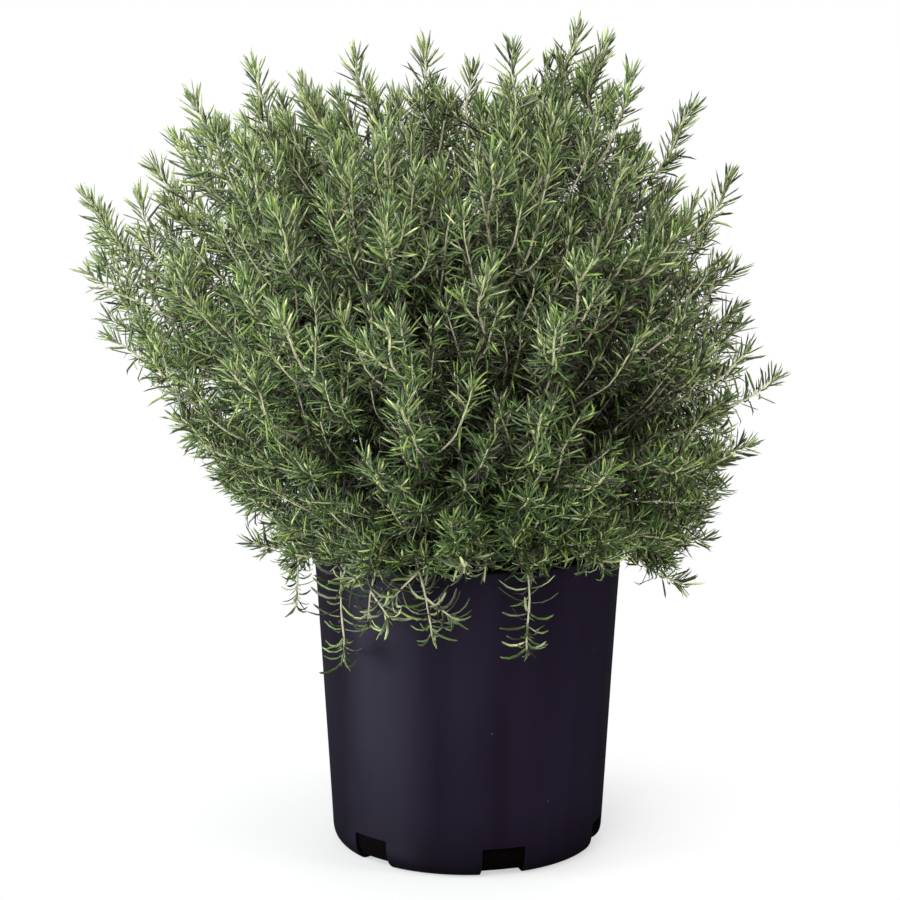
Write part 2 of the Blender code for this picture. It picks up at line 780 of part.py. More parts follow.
def shoot_mesh(shoot, name):
    """one stem, ring by ring, with its needles"""
    bm = bmesh.new()
    first = SUNK_RADIUS if shoot.fork else shoot.radius(0)
    bmesh.ops.create_circle(bm, cap_ends=True, segments=STEM_SIDES, radius=first)
    cap = bm.faces[:][0]
    for vertex, point in zip(cap.verts, ring_points(shoot, 0.0, 0.0, first)):
        vertex.co = point
    reached, last_turn = 0.0, 0.0
    for place, turn, tips in shoot.whorls:
        low, high = place - NEEDLE_BAND / 2, place + NEEDLE_BAND / 2
        cap = add_stem(bm, cap, shoot, reached, low, (last_turn, turn))
        cap = add_ring(bm, cap, ring_points(shoot, high, turn, shoot.radius(high)))
        raise_needles(bm, cap, tips)
        reached, last_turn = high, turn
    spike = bmesh.ops.poke(bm, faces=[cap])["verts"][0]
    point, heading, _, _ = shoot.frame(shoot.length)
    spike.co = point + heading * TIP_SPIKE
    bmesh.ops.holes_fill(bm, edges=bm.edges)
    bmesh.ops.triangulate(bm, faces=bm.faces)
    bmesh.ops.recalc_face_normals(bm, faces=bm.faces)
    mesh = bpy.data.meshes.new(name)
    bm.to_mesh(mesh)
    bm.free()
    return mesh


def build_spray(name, shoots, collection, helpers):
    spray = new_piece(name, shoot_mesh(shoots[0], name), collection)
    for number, shoot in enumerate(shoots[1:]):
        new_piece(f"{name}_side_{number + 1}", shoot_mesh(shoot, name), helpers)
    boolean(spray, "UNION", collection=helpers)
    take_evaluated(spray)
    remove_pieces(helpers.objects)
    return spray


def seated(path, tree):
    """the path with its first point slid along its way until the stem's flat
    end is a seat gap away from the limb"""
    path = path.copy()
    way = unit(path[1] - path[0])
    side = unit(np.cross(way, (0.36, 0.48, 0.80)))
    over = np.cross(way, side)
    spots = [np.zeros(3)]
    for a in np.arange(12) * math.pi / 6:
        spots.append(STEM_RADII[0] * (math.cos(a) * side + math.sin(a) * over))
    for _ in range(4):
        gaps = []
        for spot in spots:
            foot, normal, _, gap = tree.find_nearest(path[0] + spot)
            outside = np.dot(path[0] + spot - np.array(foot), normal) > 0
            gaps.append(gap if outside else -gap)
        path[0] -= way * (min(gaps) - SEAT_GAP)
    return path


def all_shoots(sprays, tree):
    """the sprays' shoots, with the whorls shared by length among each spray's own"""
    groups = []
    for spray in sprays:
        group = [Shoot(path if fork else seated(path, tree), fork) for path, fork in spray]
        main = lengths_of(group[0].path)
        group[0].forks = [main[shoot.fork] - FORK_RING_BACK for shoot in group[1:]]
        usable = np.array([max(s.length - s.bare, 0.01) for s in group])
        for shoot, share in zip(group, usable / usable.sum()):
            shoot.share_whorls(max(2, int(round(WHORLS * share))))
        groups.append(group)
    return groups


def tree_of(piece):
    bm = bmesh.new()
    bm.from_mesh(piece.data)
    tree = BVHTree.FromBMesh(bm)
    bm.free()
    return tree


def build():
    clear_scene()
    rosemary = new_collection("potted_rosemary")
    cutters = new_collection("slot_cutters")
    hole_cutters = new_collection("hole_cutters")
    helpers = new_collection("joined_pieces")
    materials = {name: material(name) for name in MATERIALS}

    pot = build_pot(rosemary, cutters)
    pot.data.materials.append(materials["pot_plastic"])
    mix = build_mix(rosemary, hole_cutters)
    mix.data.materials.append(materials["potting_mix"])

    limbs, sprays = grown()
    woody = build_woody(limbs, rosemary, helpers)
    woody.data.materials.append(materials["branch_bark"])

    groups = all_shoots(sprays, tree_of(woody))
    place_needles([shoot for group in groups for shoot in group], limbs)
    for number, group in enumerate(groups):
        name = f"hanging_spray_{number + 1}" if number < 2 else f"leafy_spray_{number - 1:02d}"
        spray = build_spray(name, group, rosemary, helpers)
        spray.data.materials.append(materials["rosemary_leaf"])


build()
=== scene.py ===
# %% [markdown]
# # A rosemary bush in its nursery pot
#
# The solids hold the true sizes: a turned black pot, the mix in it, a short woody
# frame and one solid for each leafy spray, with few needles. This lesson dresses
# them: every spray gets its two thousand needles, the pot its worn plastic, the mix
# its crumbs and the wood its bark. Everything is in metres, +Z up, front toward -Y.

import json
import math

import bmesh
import bpy
import numpy as np
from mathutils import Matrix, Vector

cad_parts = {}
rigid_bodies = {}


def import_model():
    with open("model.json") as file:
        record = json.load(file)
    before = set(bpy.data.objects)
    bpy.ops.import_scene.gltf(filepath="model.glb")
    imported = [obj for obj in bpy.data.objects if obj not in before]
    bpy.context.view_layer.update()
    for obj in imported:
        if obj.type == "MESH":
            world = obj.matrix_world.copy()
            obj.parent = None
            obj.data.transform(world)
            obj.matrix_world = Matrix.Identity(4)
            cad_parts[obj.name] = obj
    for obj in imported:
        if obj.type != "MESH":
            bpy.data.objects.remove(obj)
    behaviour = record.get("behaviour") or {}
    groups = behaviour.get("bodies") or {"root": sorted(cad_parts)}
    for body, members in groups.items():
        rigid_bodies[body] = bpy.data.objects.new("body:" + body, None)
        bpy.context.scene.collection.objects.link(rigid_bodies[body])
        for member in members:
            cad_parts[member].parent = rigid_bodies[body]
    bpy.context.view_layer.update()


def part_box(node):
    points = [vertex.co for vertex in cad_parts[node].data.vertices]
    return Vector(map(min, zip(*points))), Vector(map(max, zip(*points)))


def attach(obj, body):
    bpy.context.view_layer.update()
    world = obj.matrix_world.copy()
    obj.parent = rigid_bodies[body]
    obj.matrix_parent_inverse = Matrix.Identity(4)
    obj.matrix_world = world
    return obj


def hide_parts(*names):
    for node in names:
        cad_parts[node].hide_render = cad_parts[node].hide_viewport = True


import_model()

# %% [markdown]
# ## The camera
#
# The photograph is taken from a little above with a long lens. The camera stands
# where the pot's lip, foot and slots fall on their places in the picture. It could
# be found by trial; here it was worked out once from the pot's ellipses, and the
# numbers are kept.

# %% Camera
CAMERA_PLACE = (-0.0164, -2.4065, 0.7973)
CAMERA_DOWN = 9.93
LENS = 104.3
SENSOR_WIDTH = 36


def in_scene(thing):
    """the object, put into the scene"""
    bpy.context.scene.collection.objects.link(thing)
    return thing


def new_camera():
    """a camera at its place, turned down from level by CAMERA_DOWN degrees"""
    data = bpy.data.cameras.new("photo_camera")
    data.lens = LENS
    data.sensor_width = SENSOR_WIDTH
    camera = bpy.data.objects.new("photo_camera", data)
    camera.location = CAMERA_PLACE
    camera.rotation_euler = (math.radians(90 - CAMERA_DOWN), 0, 0)
    bpy.context.scene.camera = in_scene(camera)
    return camera


print("camera at", tuple(new_camera().location))

# %% [markdown]
# ## Nodes in plain words
#
# A material is a tree of nodes. Small helpers keep the trees readable: one adds a
# node and links what it is given, and the others each stand for one kind of node,
# such as a mix of two colours, a sum, a fade or a bump.

# %% Helpers for materials
def add_node(tree, kind, inputs=None, **settings):
    """a node with these settings; an input that is a socket is linked, others are set"""
    made = tree.nodes.new(kind)
    for key, value in settings.items():
        setattr(made, key, value)
    for key, value in (inputs or {}).items():
        if isinstance(value, bpy.types.NodeSocket):
            tree.links.new(value, made.inputs[key])
        else:
            made.inputs[key].default_value = value
    return made


def mixed(tree, share, first, second, blend="MIX"):
    """first and second colour mixed by share: 0 gives the first, 1 the second (a
    mix node takes its colours in sockets 6 and 7 and gives one at output 2)"""
    inputs = {0: share, 6: first, 7: second}
    return add_node(tree, "ShaderNodeMix", inputs, data_type="RGBA", blend_type=blend).outputs[2]


def sums(tree, operation, first, second=0.0, third=0.0):
    """a sum of numbers, such as first times second plus third for MULTIPLY_ADD"""
    inputs = {0: first, 1: second, 2: third}
    return add_node(tree, "ShaderNodeMath", inputs, operation=operation).outputs[0]


def faded(tree, value, low, high, at_low, at_high):
    """a number that runs from at_low to at_high while value runs from low to high"""
    inputs = {0: value, 1: low, 2: high, 3: at_low, 4: at_high}
    return add_node(tree, "ShaderNodeMapRange", inputs).outputs[0]


def ramp(tree, value, stops):
    """a run of colours: each stop is (place, colour)"""
    made = add_node(tree, "ShaderNodeValToRGB", {0: value})
    band = made.color_ramp
    for place, colour in stops[1:-1]:
        band.elements.new(place).color = (*colour, 1)
    for element, (place, colour) in ((band.elements[0], stops[0]), (band.elements[-1], stops[-1])):
        element.position = place
        element.color = (*colour, 1)
    return made.outputs[0]


print("helpers for nodes, mixes, sums, fades and ramps are ready")

# %% Helpers for places and coats
def stretched(tree, vector, scale):
    """coordinates times scale: below 1 draws a pattern out along that direction"""
    return add_node(tree, "ShaderNodeMapping", {"Vector": vector, "Scale": scale}).outputs[0]


def object_place(tree):
    """the shaded point's own place on the object"""
    return add_node(tree, "ShaderNodeTexCoord").outputs["Object"]


def height_of(tree, place):
    """how high this place lies"""
    return add_node(tree, "ShaderNodeSeparateXYZ", {0: place}).outputs[2]


def painted(tree, shader, colour, height=None, strength=0.0, distance=0.0):
    """the colour on the shader, and a bump of this height where one is given"""
    tree.links.new(colour, shader.inputs["Base Color"])
    if height is not None:
        inputs = {"Height": height, "Strength": strength, "Distance": distance}
        tree.links.new(add_node(tree, "ShaderNodeBump", inputs).outputs[0], shader.inputs["Normal"])


def new_material(name, roughness):
    """a material with its shader and tree; roughness is set on the shader itself"""
    made = bpy.data.materials.new(name)
    made.use_nodes = True
    tree = made.node_tree
    shader = tree.nodes["Principled BSDF"]
    shader.inputs["Roughness"].default_value = roughness
    return made, tree, shader


print("helpers for places, coats and new materials are ready")

# %% [markdown]
# ## Two effects that several materials share
#
# Plastic, mix, bark and leaves all show soft blotches, and plastic and mix both
# carry small pale flecks. Each effect is a node group, built once, with its own
# inputs, so that every material places it with its own values.

# %% Shared node groups
def new_group(name, inputs, output):
    """an empty group with these inputs (label, kind, first value) and one number out"""
    tree = bpy.data.node_groups.new(name, "ShaderNodeTree")
    for label, kind, value in inputs:
        socket = tree.interface.new_socket(label, in_out="INPUT", socket_type=kind)
        if value is not None:
            socket.default_value = value
    tree.interface.new_socket(output, in_out="OUTPUT", socket_type="NodeSocketFloat")
    return tree, tree.nodes.new("NodeGroupInput").outputs, tree.nodes.new("NodeGroupOutput").inputs


def mottle_group():
    """soft blotches from 0 to 1: noise, with its contrast raised about the middle"""
    tree, given, result = new_group("mottle", (
        ("Vector", "NodeSocketVector", None), ("Scale", "NodeSocketFloat", 10.0),
        ("Detail", "NodeSocketFloat", 3.0), ("Contrast", "NodeSocketFloat", 2.0)), "Value")
    noise = add_node(tree, "ShaderNodeTexNoise", {
        "Vector": given["Vector"], "Scale": given["Scale"], "Detail": given["Detail"]}).outputs["Fac"]
    raised = sums(tree, "MULTIPLY_ADD", sums(tree, "SUBTRACT", noise, 0.5), given["Contrast"], 0.5)
    tree.links.new(sums(tree, "MINIMUM", sums(tree, "MAXIMUM", raised, 0.0), 1.0), result["Value"])
    return tree


def fleck_group():
    """a mask of small dots: the cores of some of the cells of a cell pattern"""
    tree, given, result = new_group("flecks", (
        ("Vector", "NodeSocketVector", None), ("Scale", "NodeSocketFloat", 60.0),
        ("Size", "NodeSocketFloat", 0.1), ("Share", "NodeSocketFloat", 0.2)), "Mask")
    cells = add_node(tree, "ShaderNodeTexVoronoi", {"Vector": given["Vector"], "Scale": given["Scale"]})
    core = sums(tree, "LESS_THAN", cells.outputs["Distance"], given["Size"])
    lot = add_node(tree, "ShaderNodeSeparateColor", {0: cells.outputs["Color"]}).outputs[0]
    chosen = sums(tree, "LESS_THAN", lot, given["Share"])
    tree.links.new(sums(tree, "MULTIPLY", core, chosen), result["Mask"])
    return tree


MOTTLE = mottle_group()
FLECKS = fleck_group()


def mottle(tree, vector, scale, detail, contrast):
    """blotches about 1 / scale of the vector's units across"""
    inputs = {"Vector": vector, "Scale": scale, "Detail": detail, "Contrast": contrast}
    return add_node(tree, "ShaderNodeGroup", inputs, node_tree=MOTTLE).outputs[0]


def flecks(tree, vector, scale, size, share):
    """dots in this share of the cells, each cell 1 / scale units across"""
    inputs = {"Vector": vector, "Scale": scale, "Size": size, "Share": share}
    return add_node(tree, "ShaderNodeGroup", inputs, node_tree=FLECKS).outputs[0]


print("groups:", MOTTLE.name, FLECKS.name)

# %% [markdown]
# ## Pot plastic
#
# The pot is black polyethylene, blown in a mould: a purple-black skin with soft
# upright flow bands, a waxy gloss with a pale haze, a few specks of dust, and a
# foot darkened with painted shade. A plain black would look like a hole in the
# picture, so the bands and the haze also change how rough the skin is.

# %% Pot plastic
POT_BLACK = (0.0044, 0.0016, 0.0072, 1)
POT_HAZE = (0.0170, 0.0125, 0.0300, 1)
POT_SHINE = (0.92, 0.84, 1.0, 1)
POT_SPECK = (0.16, 0.15, 0.17, 1)
# painted shade: the colour that the skin turns toward near the base
POT_FOOT_SHADE = (0.002, 0.0012, 0.003, 1)
POT_GLOSS = 0.34
POT_ROUGHNESS = 0.34
FOOT_SHADE_HEIGHT = 0.06


def pot_plastic():
    """black toward haze by bands and blotches, with dots of dust and painted shade at the foot"""
    made, tree, shader = new_material("blown_black_plastic", 0.42)
    shader.inputs["Specular IOR Level"].default_value = POT_GLOSS
    shader.inputs["Specular Tint"].default_value = POT_SHINE
    place = object_place(tree)
    bands = mottle(tree, stretched(tree, place, (1, 1, 0.06)), scale=24.0, detail=2.0, contrast=2.2)
    haze = mottle(tree, stretched(tree, place, (1, 1, 0.5)), scale=11.0, detail=4.0, contrast=2.0)
    specks = flecks(tree, place, scale=95.0, size=0.06, share=0.10)
    share = sums(tree, "MULTIPLY_ADD", bands, 0.26, sums(tree, "MULTIPLY", haze, 0.16))
    colour = mixed(tree, share, POT_BLACK, POT_HAZE)
    colour = mixed(tree, sums(tree, "MULTIPLY", specks, 0.5), colour, POT_SPECK)
    # painted shade: the skin darkens toward the base
    colour = mixed(tree, faded(tree, height_of(tree, place), 0.0, FOOT_SHADE_HEIGHT, 0.75, 0.0), colour, POT_FOOT_SHADE)
    rough = sums(tree, "MULTIPLY_ADD", haze, 0.10, POT_ROUGHNESS)
    tree.links.new(sums(tree, "MULTIPLY_ADD", bands, 0.12, rough), shader.inputs["Roughness"])
    skin = mottle(tree, place, scale=420.0, detail=2.0, contrast=1.0)
    relief = sums(tree, "MULTIPLY_ADD", skin, 0.12, bands)
    painted(tree, shader, colour, relief, strength=0.2, distance=0.0006)
    return made


POT_PLASTIC = pot_plastic()
print("made", POT_PLASTIC.name)

# %% [markdown]
# ## Potting mix and bark
#
# The mix is composted bark and peat, never shiny: dry and brown on top, and painted
# nearly black with shade at the foot, where it shows through the slots. The wood is a
# grey brown with fine lengthwise fissures; only glimpses of it show between the leaves.

# %% Mix and bark
CLODS = ((0.020, 0.011, 0.008, 1), (0.075, 0.036, 0.022, 1))
FIBRE = (0.11, 0.075, 0.05, 1)
GRIT = (0.30, 0.28, 0.24, 1)
# painted shade: the near-black that the mix turns toward low in the pot, seen through the slots
MIX_FOOT_SHADE = (0.0018, 0.0006, 0.0007, 1)
MIX_SHADE_HEIGHTS = (0.03, 0.16)
MIX_GLOSS = 0.05
BARK_BROWNS = ((0.055, 0.037, 0.025, 1), (0.21, 0.155, 0.105, 1))
BARK_GREY = (0.28, 0.25, 0.20, 1)


def potting_mix():
    """dark to brown by clods, with paler fibres, dots of grit and painted shade at the foot"""
    made, tree, shader = new_material("bark_and_peat_mix", 0.95)
    shader.inputs["Specular IOR Level"].default_value = MIX_GLOSS
    place = object_place(tree)
    clods = mottle(tree, place, scale=90.0, detail=4.0, contrast=2.5)
    fibres = mottle(tree, place, scale=420.0, detail=3.0, contrast=2.0)
    grit = flecks(tree, place, scale=260.0, size=0.16, share=0.05)
    colour = mixed(tree, clods, *CLODS)
    colour = mixed(tree, sums(tree, "MULTIPLY", fibres, 0.4), colour, FIBRE)
    colour = mixed(tree, grit, colour, GRIT)
    # painted shade: the mix darkens toward the foot
    foot_shade = faded(tree, height_of(tree, place), *MIX_SHADE_HEIGHTS, 1.0, 0.0)
    colour = mixed(tree, foot_shade, colour, MIX_FOOT_SHADE)
    relief = sums(tree, "MULTIPLY_ADD", fibres, 0.4, clods)
    painted(tree, shader, colour, relief, strength=0.7, distance=0.002)
    return made


def bark():
    """dark to pale brown by fissures drawn out upward, with grey patches"""
    made, tree, shader = new_material("grey_brown_bark", 0.88)
    place = object_place(tree)
    fissures = mottle(tree, stretched(tree, place, (1, 1, 0.16)), scale=520.0, detail=4.0, contrast=3.0)
    patches = mottle(tree, place, scale=60.0, detail=3.0, contrast=2.0)
    colour = mixed(tree, fissures, *BARK_BROWNS)
    colour = mixed(tree, sums(tree, "MULTIPLY", patches, 0.45), colour, BARK_GREY)
    painted(tree, shader, colour, fissures, strength=0.8, distance=0.0012)
    return made


POTTING_MIX, BARK = potting_mix(), bark()
print("made", POTTING_MIX.name, BARK.name)

# %% [markdown]
# ## Needle and young stem
#
# A rosemary needle is dark and leathery above, with rolled margins, and pale felt
# shows beneath. Fresh needles are yellow green. A hundred thousand needles can't
# have a picture each, so each one lies in a narrow lane of one shared map: how far
# along the map it runs says base or tip, and the lane's height says how new it is,
# with painted light added high up and at the left and painted shade deep inside.
# The left half of the map is the upper side, the right half the underside, and
# the top lanes are for stems, whose place along the map also holds painted shade
# deep inside. All colours are functions of that map alone.

# %% The leaf map and its colours
LEAF_MAP = "OFBake"
NEEDLE_LANES = 0.80
STEM_LANES = (0.84, 0.99)
LANE_HALF = 0.004

UPPER_GREENS = (
    (0.00, (0.020, 0.014, 0.013)),
    (0.22, (0.032, 0.053, 0.019)),
    (0.45, (0.056, 0.103, 0.029)),
    (0.70, (0.105, 0.178, 0.046)),
    (1.00, (0.250, 0.345, 0.082)),
)
UNDER_GREENS = (
    (0.00, (0.066, 0.054, 0.046)),
    (0.22, (0.136, 0.156, 0.094)),
    (0.45, (0.221, 0.274, 0.138)),
    (0.70, (0.320, 0.395, 0.182)),
    (1.00, (0.420, 0.493, 0.212)),
)
STEM_COLOURS = (
    (0.00, (0.045, 0.033, 0.030)),
    (0.35, (0.215, 0.182, 0.138)),
    (0.65, (0.420, 0.410, 0.285)),
    (1.00, (0.540, 0.590, 0.330)),
)
LANE_SHADES = ((0.0, (0.36, 0.38, 0.40)), (1.0, (1.66, 1.60, 1.52)))
STREAK_SHADES = ((0.0, (0.66, 0.60, 0.56)), (1.0, (1.25, 1.25, 1.25)))
NEEDLE_BASE = (0.330, 0.376, 0.170, 1)
NEEDLE_TIP = (0.200, 0.210, 0.085, 1)
print("leaf map", LEAF_MAP, "with needles up to", NEEDLE_LANES, "and stems at", STEM_LANES)

# %% Leaf and stem materials
def map_parts(tree):
    """the two coordinates of the leaf map, and both together"""
    both = add_node(tree, "ShaderNodeUVMap", uv_map=LEAF_MAP).outputs[0]
    split = add_node(tree, "ShaderNodeSeparateXYZ", {0: both})
    return split.outputs[0], split.outputs[1], both


def needle_leaf():
    """the side's green by the lane's height: age, with painted light high up and at the
    left and painted shade deep inside; times a shade for each lane, with a pale base
    and a pale tip; the underside's felt is rougher than the leathery upper side"""
    made, tree, shader = new_material("rosemary_needle", 0.45)
    across, up, both = map_parts(tree)
    under = sums(tree, "GREATER_THAN", across, 0.5)
    along = sums(tree, "FRACT", sums(tree, "MULTIPLY", across, 2.0))
    # the lane's height holds age together with painted light and painted shade
    fresh_and_lit = sums(tree, "DIVIDE", up, NEEDLE_LANES)
    colour = mixed(tree, under, ramp(tree, fresh_and_lit, UPPER_GREENS), ramp(tree, fresh_and_lit, UNDER_GREENS))
    lanes = mottle(tree, stretched(tree, both, (3, 110, 1)), scale=1.0, detail=1.0, contrast=2.6)
    colour = mixed(tree, 1.0, colour, ramp(tree, lanes, LANE_SHADES), "MULTIPLY")
    colour = mixed(tree, faded(tree, along, 0.04, 0.26, 0.6, 0.0), colour, NEEDLE_BASE)
    colour = mixed(tree, faded(tree, along, 0.80, 0.92, 0.0, 0.45), colour, NEEDLE_TIP)
    rough = sums(tree, "MULTIPLY_ADD", lanes, 0.10, 0.36)
    tree.links.new(sums(tree, "MULTIPLY_ADD", under, 0.26, rough), shader.inputs["Roughness"])
    painted(tree, shader, colour)
    return made


def young_stem():
    """brown to pale green by age and painted shade, times the shade of fine streaks"""
    made, tree, shader = new_material("rosemary_stem", 0.6)
    youth_and_shade, _, both = map_parts(tree)
    streaks = mottle(tree, stretched(tree, both, (26, 60, 1)), scale=1.0, detail=3.0, contrast=2.6)
    shades = ramp(tree, streaks, STREAK_SHADES)
    painted(tree, shader, mixed(tree, 1.0, ramp(tree, youth_and_shade, STEM_COLOURS), shades, "MULTIPLY"))
    tree.links.new(sums(tree, "MULTIPLY_ADD", streaks, 0.2, 0.5), shader.inputs["Roughness"])
    return made


NEEDLE_LEAF, YOUNG_STEM = needle_leaf(), young_stem()
print("made", NEEDLE_LEAF.name, YOUNG_STEM.name)

# %% [markdown]
# ## The stage and its light
#
# The photograph is a cut-out on white, lit softly from above and from the left.
# A wide pale floor brightens to white with distance, so no horizon shows. Big soft
# lights stand where the pot's broad highlight says they were. The sky that the
# camera sees is white, but it gives the leaves only a gentle fill, which keeps the
# gaps between them dark.

# %% Stage
FLOOR_HALF = 40.0
FLOOR_DROP = 0.0004
FILL = 0.20
GLOSSY_FILL = 0.02
FLOOR_PALE = (0.86, 0.86, 0.86, 1)
FLOOR_IN_GLOSS = (0.03, 0.03, 0.03, 1)
WHITE = (1, 1, 1, 1)
GLOW_FROM, GLOW_FULL = 0.10, 0.45


def shaders_mixed(tree, share, first, second):
    """two shaders mixed by share: 0 gives the first, 1 the second"""
    return add_node(tree, "ShaderNodeMixShader", {0: share, 1: first, 2: second}).outputs[0]


def pale_floor():
    """a flat square that glows white to the camera, more with distance from the pot;
    to the pot's gloss it is dark, as if black cards stood in front of the pot"""
    mesh = bpy.data.meshes.new("pale_floor")
    h, z = FLOOR_HALF, -FLOOR_DROP
    mesh.from_pydata([(-h, -h, z), (h, -h, z), (h, h, z), (-h, h, z)], [], [(0, 1, 2, 3)])
    made, tree, shader = new_material("pale_floor", 0.9)
    rays = add_node(tree, "ShaderNodeLightPath").outputs
    painted(tree, shader, mixed(tree, rays["Is Glossy Ray"], FLOOR_PALE, FLOOR_IN_GLOSS))
    place = object_place(tree)
    far = add_node(tree, "ShaderNodeVectorMath", {0: place}, operation="LENGTH").outputs["Value"]
    share = sums(tree, "MULTIPLY", faded(tree, far, GLOW_FROM, GLOW_FULL, 0.50, 1.0), rays["Is Camera Ray"])
    glow = add_node(tree, "ShaderNodeEmission", {"Color": WHITE, "Strength": 1.0}).outputs[0]
    surface = shaders_mixed(tree, share, shader.outputs[0], glow)
    tree.links.new(surface, tree.nodes["Material Output"].inputs["Surface"])
    mesh.materials.append(made)
    floor = in_scene(bpy.data.objects.new("pale_floor", mesh))


def studio_sky():
    """white to the camera, nearly dark to gloss, and a gentle fill to all the rest"""
    world = bpy.data.worlds.new("studio")
    world.use_nodes = True
    bpy.context.scene.world = world
    tree = world.node_tree
    fill = tree.nodes["Background"]
    fill.inputs["Color"].default_value = (0.97, 0.985, 1, 1)
    fill.inputs["Strength"].default_value = FILL
    seen = add_node(tree, "ShaderNodeBackground", {"Color": WHITE, "Strength": 1.0}).outputs[0]
    gloss = add_node(tree, "ShaderNodeBackground", {"Color": WHITE, "Strength": GLOSSY_FILL}).outputs[0]
    rays = add_node(tree, "ShaderNodeLightPath").outputs
    unseen = shaders_mixed(tree, rays["Is Glossy Ray"], fill.outputs[0], gloss)
    surface = shaders_mixed(tree, rays["Is Camera Ray"], unseen, seen)
    tree.links.new(surface, tree.nodes["World Output"].inputs["Surface"])


bpy.context.scene.view_settings.view_transform = "Standard"
pale_floor()
studio_sky()
print("stage: floor", 2 * FLOOR_HALF, "m wide, sky fill", FILL)

# %% Soft lights
LIGHTS_AIM = (0, 0, 0.40)
WARM_WHITE = (1.0, 0.995, 0.96)


def softbox(name, place, size, power, colour=(1, 1, 1), mirrored=True, lit=True):
    """a rectangular light of this size in metres and power in watts, aimed at the
    bush; mirrored says whether gloss shows it, lit whether it lights surfaces"""
    data = bpy.data.lights.new(name, "AREA")
    data.shape = "RECTANGLE"
    data.size, data.size_y = size
    data.energy = power
    data.color = colour
    light = bpy.data.objects.new(name, data)
    light.location = place
    light.rotation_euler = (Vector(LIGHTS_AIM) - Vector(place)).to_track_quat("-Z", "Y").to_euler()
    light.visible_glossy = mirrored
    light.visible_diffuse = lit
    return in_scene(light)


LIGHTS = (
    softbox("left_window", (-2.4, -0.8, 0.8), (1.3, 2.2), 80, (0.90, 0.96, 1.0)),
    softbox("left_shine", (-2.4, -0.9, 0.8), (1.2, 2.2), 60, (0.72, 0.90, 1.0), lit=False),
    softbox("front_sky", (-0.9, -2.3, 2.4), (1.6, 1.0), 38, WARM_WHITE),
    softbox("front_fill", (-0.3, -2.6, 1.0), (1.2, 1.2), 34, mirrored=False),
    softbox("top_light", (0.1, -0.1, 2.7), (1.8, 1.8), 56, WARM_WHITE),
    softbox("right_fill", (2.3, -1.0, 0.9), (0.8, 1.8), 40, mirrored=False),
    softbox("back_light", (0.6, 2.4, 1.8), (2.0, 1.2), 26, mirrored=False),
)
print(len(LIGHTS), "soft lights,", sum(light.data.energy for light in LIGHTS), "W in all")

# %% [markdown]
# ## Shapes as arrays
#
# Each piece is worked out as whole arrays: points, the corners of its faces, and
# each corner's place on the leaf map. A shape is kept as such a set of arrays, so
# hundreds of stems and needles can be put into one mesh at the end. Modifiers or
# curves could make the same shapes, but would take an object for each stem.

# %% Shapes
class Shape:
    """points in rows of three, corners of faces in order, each face's corner count,
    each corner's place on the map, and each face's material number"""

    def __init__(self, points, corners, counts, places=None, finish=0):
        self.points = np.asarray(points, float).reshape(-1, 3)
        self.corners = np.asarray(corners, int).ravel()
        self.counts = np.asarray(counts, int).ravel()
        places = np.zeros((len(self.corners), 2)) if places is None else places
        self.places = np.asarray(places).reshape(-1, 2)
        self.finish = np.broadcast_to(np.asarray(finish, int), self.counts.shape)


def joined(shapes):
    """all the shapes as one; their points are numbered on from one another"""
    firsts = np.cumsum([0] + [len(s.points) for s in shapes[:-1]])
    return Shape(
        np.concatenate([s.points for s in shapes]),
        np.concatenate([s.corners + first for s, first in zip(shapes, firsts)]),
        np.concatenate([s.counts for s in shapes]),
        np.concatenate([s.places for s in shapes]),
        np.concatenate([s.finish for s in shapes]))


def ring_faces(rings, count, turned_over=False):
    """corners and corner counts of the faces over rings of count points each: quads
    between neighbouring rings, and a fan of triangles at each end to a middle point;
    the first ring's middle point is numbered after all rings, the last one's next"""
    j, k = np.meshgrid(np.arange(rings - 1), np.arange(count), indexing="ij")
    after = (k + 1) % count
    quads = np.stack([j * count + k, j * count + after,
                      (j + 1) * count + after, (j + 1) * count + k], axis=-1)
    k, after = k[0], after[0]
    start = np.stack([np.full(count, rings * count), after, k], axis=-1)
    end = (rings - 1) * count + np.stack([k, after, np.full(count, count + 1)], axis=-1)
    if turned_over:
        quads, start, end = quads[..., [0, 3, 2, 1]], start[:, [0, 2, 1]], end[:, [1, 0, 2]]
    corners = np.concatenate([quads.ravel(), start.ravel(), end.ravel()])
    return corners, np.repeat([4, 3], [(rings - 1) * count, 2 * count])


print("a tube of 3 rings of 6 points has", len(ring_faces(3, 6)[1]), "faces")

# %% Pieces made of shapes
def mesh_of(name, shape, smooth=True):
    """a mesh from whole arrays, with the leaf map where the shape has places on it"""
    mesh = bpy.data.meshes.new(name)
    mesh.vertices.add(len(shape.points))
    mesh.vertices.foreach_set("co", shape.points.ravel())
    mesh.loops.add(len(shape.corners))
    mesh.loops.foreach_set("vertex_index", shape.corners)
    mesh.polygons.add(len(shape.counts))
    mesh.polygons.foreach_set("loop_start", np.cumsum(shape.counts) - shape.counts)
    mesh.polygons.foreach_set("material_index", shape.finish)
    mesh.polygons.foreach_set("use_smooth", np.full(len(shape.counts), smooth))
    if shape.places.any():
        mesh.uv_layers.new(name=LEAF_MAP).data.foreach_set("uv", shape.places.ravel())
    mesh.update(calc_edges=True)
    return mesh


TRIANGLES = {}


def dress(name, mesh, materials, slot, *nodes):
    """a finished piece: its materials, its body, and the solid that it stands for"""
    piece = in_scene(bpy.data.objects.new(name, mesh))
    for material in materials:
        mesh.materials.append(material)
    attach(piece, "root")
    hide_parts(*nodes)
    corners = np.zeros(len(mesh.polygons), int)
    mesh.polygons.foreach_get("loop_total", corners)
    TRIANGLES[name] = int((corners - 2).sum())
    return piece


# %% Tubes
END_BULGES = (0.05, 0.12)


